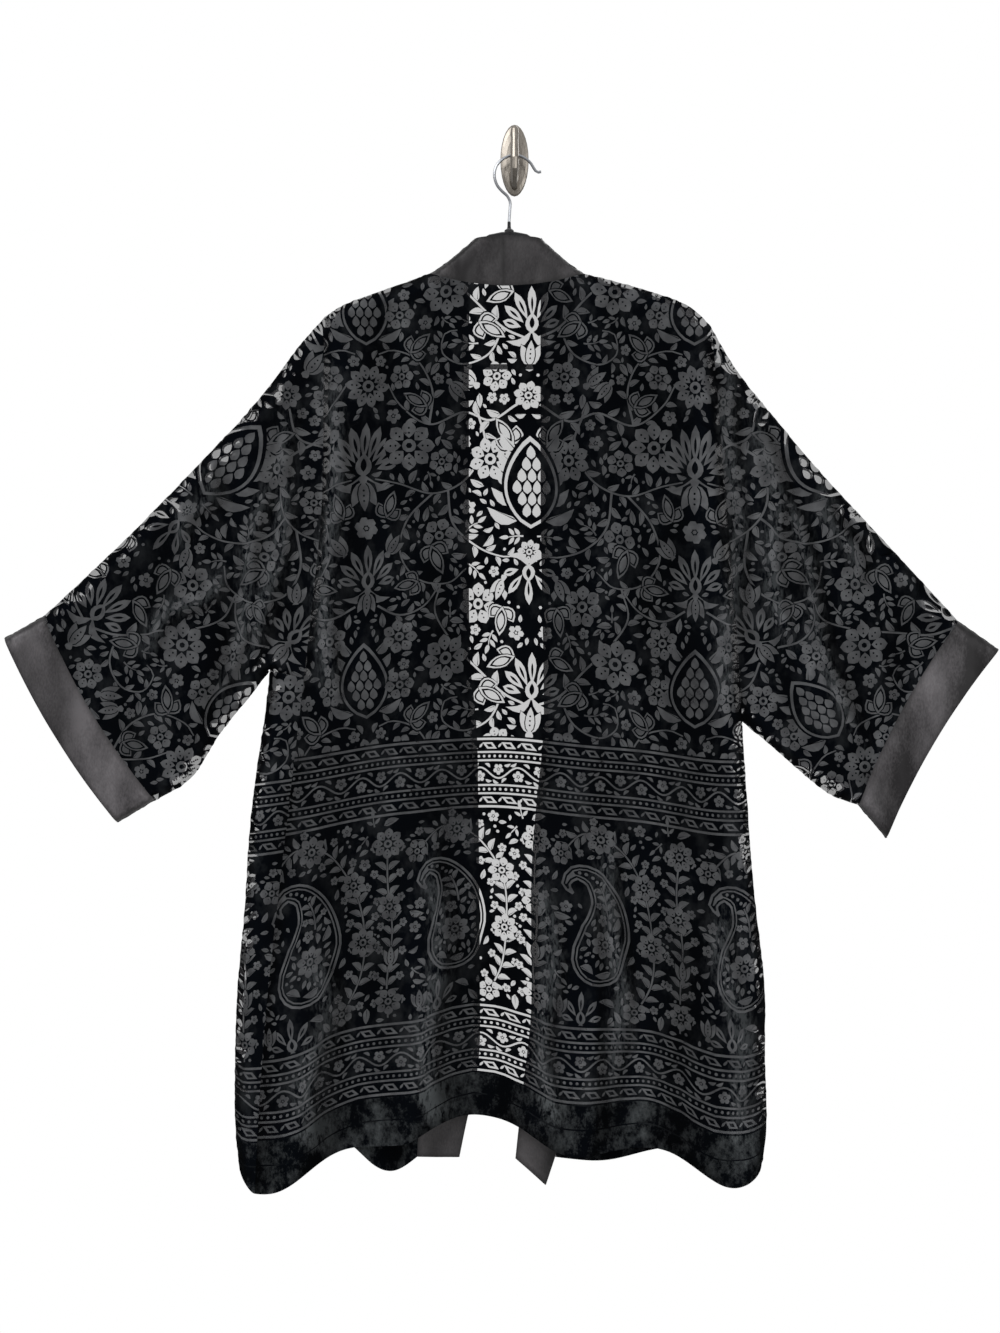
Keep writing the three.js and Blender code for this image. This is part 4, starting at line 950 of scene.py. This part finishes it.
def blended(factor, low, high, dark, light):
    """A colour from dark to light as a factor goes from low to high."""
    ramp = add(factor, "ValToRGB")
    for stop, place, color in zip(ramp.color_ramp.elements, (low, high), (dark, light)):
        stop.position = place
        stop.color = (*color, 1)
    link(factor, ramp, "Fac")
    return ramp.outputs["Color"]


def scaled_sum(value, scale, added):
    """A value times a number, and another value added."""
    node = add(value, "Math", operation="MULTIPLY_ADD")
    node.inputs[1].default_value = scale
    link(value, node, 0)
    link(added, node, 2)
    return node.outputs[0]


def fold_shaded(color, trough, ridge):
    """A colour with painted shade: darker in the cloth's troughs and lighter on its ridges."""
    fold = add(color, "Attribute", attribute_name="fold")
    level = add(color, "MapRange", **{"To Min": trough, "To Max": ridge})
    scaled = add(color, "VectorMath", operation="SCALE")
    link(fold.outputs["Fac"], level, "Value")
    link(color, scaled, 0)
    link(level.outputs["Result"], scaled, "Scale")
    return scaled.outputs["Vector"]


def raised(shader, height, strength, distance):
    bump = add(shader, "Bump", Strength=strength, Distance=distance)
    link(height, bump, "Height")
    link(bump.outputs["Normal"], shader, "Normal")


def pile_material(name, scale, low, high, dark, light, roughness=0.6):
    """Short black velvet pile, crushed in soft patches and along the folds; the crushed pile is painted
    lighter, as painted sheen.
    """
    material, shader = surface(name, dark, 0.9, {
        "Sheen Weight": 0.03, "Sheen Roughness": 0.35, "Sheen Tint": (0.55, 0.65, 0.75, 1),
        "Specular IOR Level": 0.03})
    # crushed patches, painted lighter as the pile's painted sheen
    patches = speckle(shader, scale, 8, (1.0, 1.0, 0.7), roughness=roughness)
    creased = add(shader, "Attribute", attribute_name="crush")
    # crushed streaks along the folds, painted lighter as painted sheen
    strands = speckle(shader, 260, 3, (1.0, 1.0, 0.35), roughness=0.7)
    streaked = add(shader, "Math", operation="MULTIPLY")
    link(creased.outputs["Fac"], streaked, 0)
    link(blended(strands, 0.4, 0.62, (0,) * 3, (1,) * 3), streaked, 1)
    total = scaled_sum(streaked.outputs[0], 0.8, patches)
    color = fold_shaded(blended(total, low, high, dark, light), 0.4, 1.6)
    link(color, shader, "Base Color")
    raised(shader, speckle(shader, 900, 2), 0.5, 0.0004)
    return material


def sheer_material(name, opacity, dark, light):
    """The sheer ground that is left where the pile is burnt out."""
    material, shader = surface(
        name, light, 0.6, {"Alpha": opacity, "Specular IOR Level": 0.15, "Sheen Weight": 0.05})
    color = fold_shaded(blended(speckle(shader, 60, 3), 0.35, 0.7, dark, light), 0.5, 1.45)
    link(color, shader, "Base Color")
    return material


def satin_material(name, dark, light):
    """Charcoal satin with a fine twill and soft creases, painted darker and lighter along the creases as
    painted shade and sheen.
    """
    material, shader = surface(name, light, 0.42, {"Specular IOR Level": 0.22, "Sheen Weight": 0.03})
    weave = speckle(shader, 560, 2, (1, 1, 0.5), 0.7)
    creases = speckle(shader, 17, 3, (1, 1, 0.45), 0.9, 0.42)
    mixed = scaled_sum(weave, 0.2, creases)
    # painted shade and sheen of the creases
    color = blended(mixed, 0.46, 0.74, dark, light)
    link(fold_shaded(color, 0.45, 1.55), shader, "Base Color")
    raised(shader, creases, 0.8, 0.014)
    return material


def flock_material():
    material, shader = surface("hanger_flock", (0.008, 0.008, 0.009), 0.95, {"Sheen Weight": 0.3})
    flecks = speckle(shader, 700, 2)
    color = blended(flecks, 0.35, 0.7, (0.004, 0.004, 0.005), (0.02, 0.02, 0.022))
    link(color, shader, "Base Color")
    raised(shader, speckle(shader, 1500, 2), 0.6, 0.0003)
    return material


def chrome_material():
    material, shader = surface("chrome_wire", (0.30, 0.31, 0.33), 0.12, {"Metallic": 1.0})
    smudges = blended(speckle(shader, 160, 3), 0.3, 0.75, (0.26,) * 3, (0.38,) * 3)
    link(smudges, shader, "Roughness")
    return material


def nickel_material():
    """Brushed nickel, its fine lines along the plate."""
    material, shader = surface("satin_nickel", (0.30, 0.275, 0.245), 0.3, {"Metallic": 1.0})
    lines = speckle(shader, 260, 3, (6, 6, 0.25))
    link(blended(lines, 0.3, 0.7, (0.195, 0.175, 0.15), (0.29, 0.265, 0.235)), shader, "Base Color")
    link(blended(lines, 0.3, 0.7, (0.24,) * 3, (0.38,) * 3), shader, "Roughness")
    return material


velvet = [
    # its light colour is the painted sheen of the crushed pile
    pile_material("velvet_pile", 34, 0.5, 1.0, (0.0007, 0.0011, 0.0019), (0.022, 0.024, 0.0255)),
    # nearly opaque: painted shade of what hangs behind the ground
    sheer_material("sheer_ground", 0.90, (0.034, 0.035, 0.038), (0.070, 0.072, 0.076)),
    # the hem's lighter crushed patches are painted sheen
    pile_material("velvet_hem", 30, 0.47, 0.70, (0.0006, 0.0010, 0.0017), (0.044, 0.048, 0.050), 0.8),
    # more see-through and lighter: painted glints along the edges, and the real see-through where nothing is
    # behind
    sheer_material("sheer_open", 0.48, (0.050, 0.050, 0.053), (0.080, 0.080, 0.083)),
]
# one satin: the cuffs' copy is painted lighter, as painted sheen
satin_band = satin_material("satin_band", (0.009, 0.008, 0.009), (0.050, 0.047, 0.049))
satin_cuff = satin_material("satin_cuff", (0.010, 0.009, 0.010), (0.098, 0.092, 0.097))


# Pieces of cloth

VELVET = {
    # node: its sides, the width and length of its cut, the cut's area
    "back": ((BACK,), (0.60, 1.06), 0.53),
    "front_left": ((BACK, WALL), (0.26, 1.06), 0.195),
    "front_right": ((WALL,), (0.21, 1.04), 0.182),
    "sleeve_left": ((BACK, WALL), (0.66, 0.36), 0.195),
    "sleeve_right": ((BACK, WALL), (0.60, 0.34), 0.165),
}
SLEEVES = {
    # node: where its pattern starts at the shoulder, how far it leans out
    "sleeve_left": ((-0.17, -0.17), -radians(41)),
    "sleeve_right": ((0.19, -0.17), radians(41)),
}
SATIN = {
    # node: the width and length of its cut, the cut's area, its material
    "cuff_left": ((0.47, 0.06), 0.0275, satin_cuff),
    "cuff_right": ((0.47, 0.06), 0.0275, satin_cuff),
    "neck_band_left": ((0.068, 1.14), 0.073, satin_band),
    "neck_band_right": ((0.068, 1.14), 0.073, satin_band),
}


def dress(piece, node, materials):
    """Gives a piece its materials, and tells the frame what it is."""
    for material in materials:
        piece.data.materials.append(material)
    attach(piece, "root")
    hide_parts(node)


sides = {}
for node, (ways, flat, area) in VELVET.items():
    skin = smooth_skin(node, VELVET_WALL)
    sides[node] = [Side(skin, way, CELL) for way in ways]
for node in SATIN:
    skin = smooth_skin(node, SATIN_WALL)
    sides[node] = [Side(skin, way, SATIN_CELL) for way in (BACK, WALL)]

back_hem = hem_line([sides["back"][0], sides["front_left"][0]])
front_hem = hem_line([sides["front_left"][1], sides["front_right"][0]])
outlines = np.concatenate([side.outline for node in VELVET for side in sides[node]])
edges = flat_tree(outlines[abs(outlines[:, 1] - MIDDLE_Y) < TURNED])
fronts = [sides[node][-1] for node in ("front_left", "front_right", "neck_band_left", "neck_band_right")]
body_shapes = bordered(*BODY_CLOTH)
sleeve_shapes = flowers(*SLEEVE_CLOTH)
for node, (ways, flat, area) in VELVET.items():
    if node in SLEEVES:
        patterns = [on_sleeve(sleeve_shapes, *SLEEVES[node])] * 2
    else:
        patterns = [on_body(body_shapes, back_hem if way == BACK else front_hem) for way in ways]
        if node == "front_left":
            patterns[0] = on_body(body_shapes, back_hem, WRAP_DROP)
    reach = OPEN_SLEEVE if node in SLEEVES else OPEN_BODY
    is_open = openness(edges, reach, fronts if node == "back" else ())
    piece = cloth(f"{node}_cloth", sides[node], patterns, is_open)
    dress(piece, node, velvet)
for node, (flat, area, material) in SATIN.items():
    piece = cloth(f"{node}_cloth", sides[node], [[], []])
    dress(piece, node, [material])


# Hanger and wall hook, as the CAD model has them

flock = flock_material()
for node, material in (
        ("hanger_frame", flock), ("hanger_collar", flock), ("hanger_wire", chrome_material()),
        ("wall_hook", nickel_material())):
    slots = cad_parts[node].data.materials
    slots.clear()
    slots.append(material)


# Light, floor and camera

scene = bpy.context.scene
scene.view_settings.view_transform = "Standard"

world = bpy.data.worlds.new("studio")
scene.world = world
world.use_nodes = True
sky = world.node_tree.nodes["Background"]
ray = add(sky, "LightPath")
direction = add(sky, "TexCoord")
parts = add(sky, "SeparateXYZ")
room = add(sky, "MapRange", **{"From Min": -0.6, "From Max": 0.9, "To Min": 0.22, "To Max": 1.0})
seen = add(sky, "Mix", B=1.0)
link(direction.outputs["Generated"], parts, "Vector")
link(parts.outputs["Z"], room, "Value")
link(room.outputs["Result"], seen, "A")
link(ray.outputs["Is Camera Ray"], seen, "Factor")
link(seen.outputs["Result"], sky, "Strength")
sky.inputs["Color"].default_value = (1, 1, 1, 1)


def lamp(name, place, aim, size, power):
    data = bpy.data.lights.new(name, "AREA")
    data.shape = "RECTANGLE"
    data.size, data.size_y = size
    data.energy = power
    obj = new_object(name, data)
    obj.location = place
    obj.rotation_euler = (Vector(aim) - Vector(place)).to_track_quat("-Z", "Y").to_euler()


lamp("key", (-1.3, -2.4, 1.2), (0, 0, -0.55), (1.6, 1.2), 38)
lamp("fill", (1.7, -2.2, -0.2), (0, 0, -0.6), (1.4, 1.8), 16)
lamp("behind", (0.6, 2.0, 0.6), (0, 0, -0.5), (1.6, 1.6), 20)

FLOOR_Z = -1.75
FLOOR_CORNERS = ((-1.5, -1.6), (1.5, -1.6), (1.5, 1.1), (-1.5, 1.1))
floor_mesh = bpy.data.meshes.new("floor")
floor_mesh.from_pydata([(x, y, FLOOR_Z) for x, y in FLOOR_CORNERS], [], [(0, 1, 2, 3)])
floor_mesh.materials.append(surface("floor", (0.8, 0.8, 0.79), 0.8)[0])
new_object("floor", floor_mesh)

CAMERA_AWAY = 2.6
SCALE_Y = -0.028  # depth of the robe's back, where a pixel of the photo is PIXEL wide
camera_data = bpy.data.cameras.new("camera")
camera = new_object("camera", camera_data)
scene.camera = camera
centre_x = (PHOTO_PIXELS[0] / 2 - ORIGIN_PIXEL[0]) * PIXEL
centre_z = (ORIGIN_PIXEL[1] - PHOTO_PIXELS[1] / 2) * PIXEL
camera.location = (centre_x, SCALE_Y - CAMERA_AWAY, centre_z)
camera.rotation_euler = (pi / 2, 0, 0)
camera_data.lens = camera_data.sensor_width * CAMERA_AWAY / (PHOTO_PIXELS[1] * PIXEL)
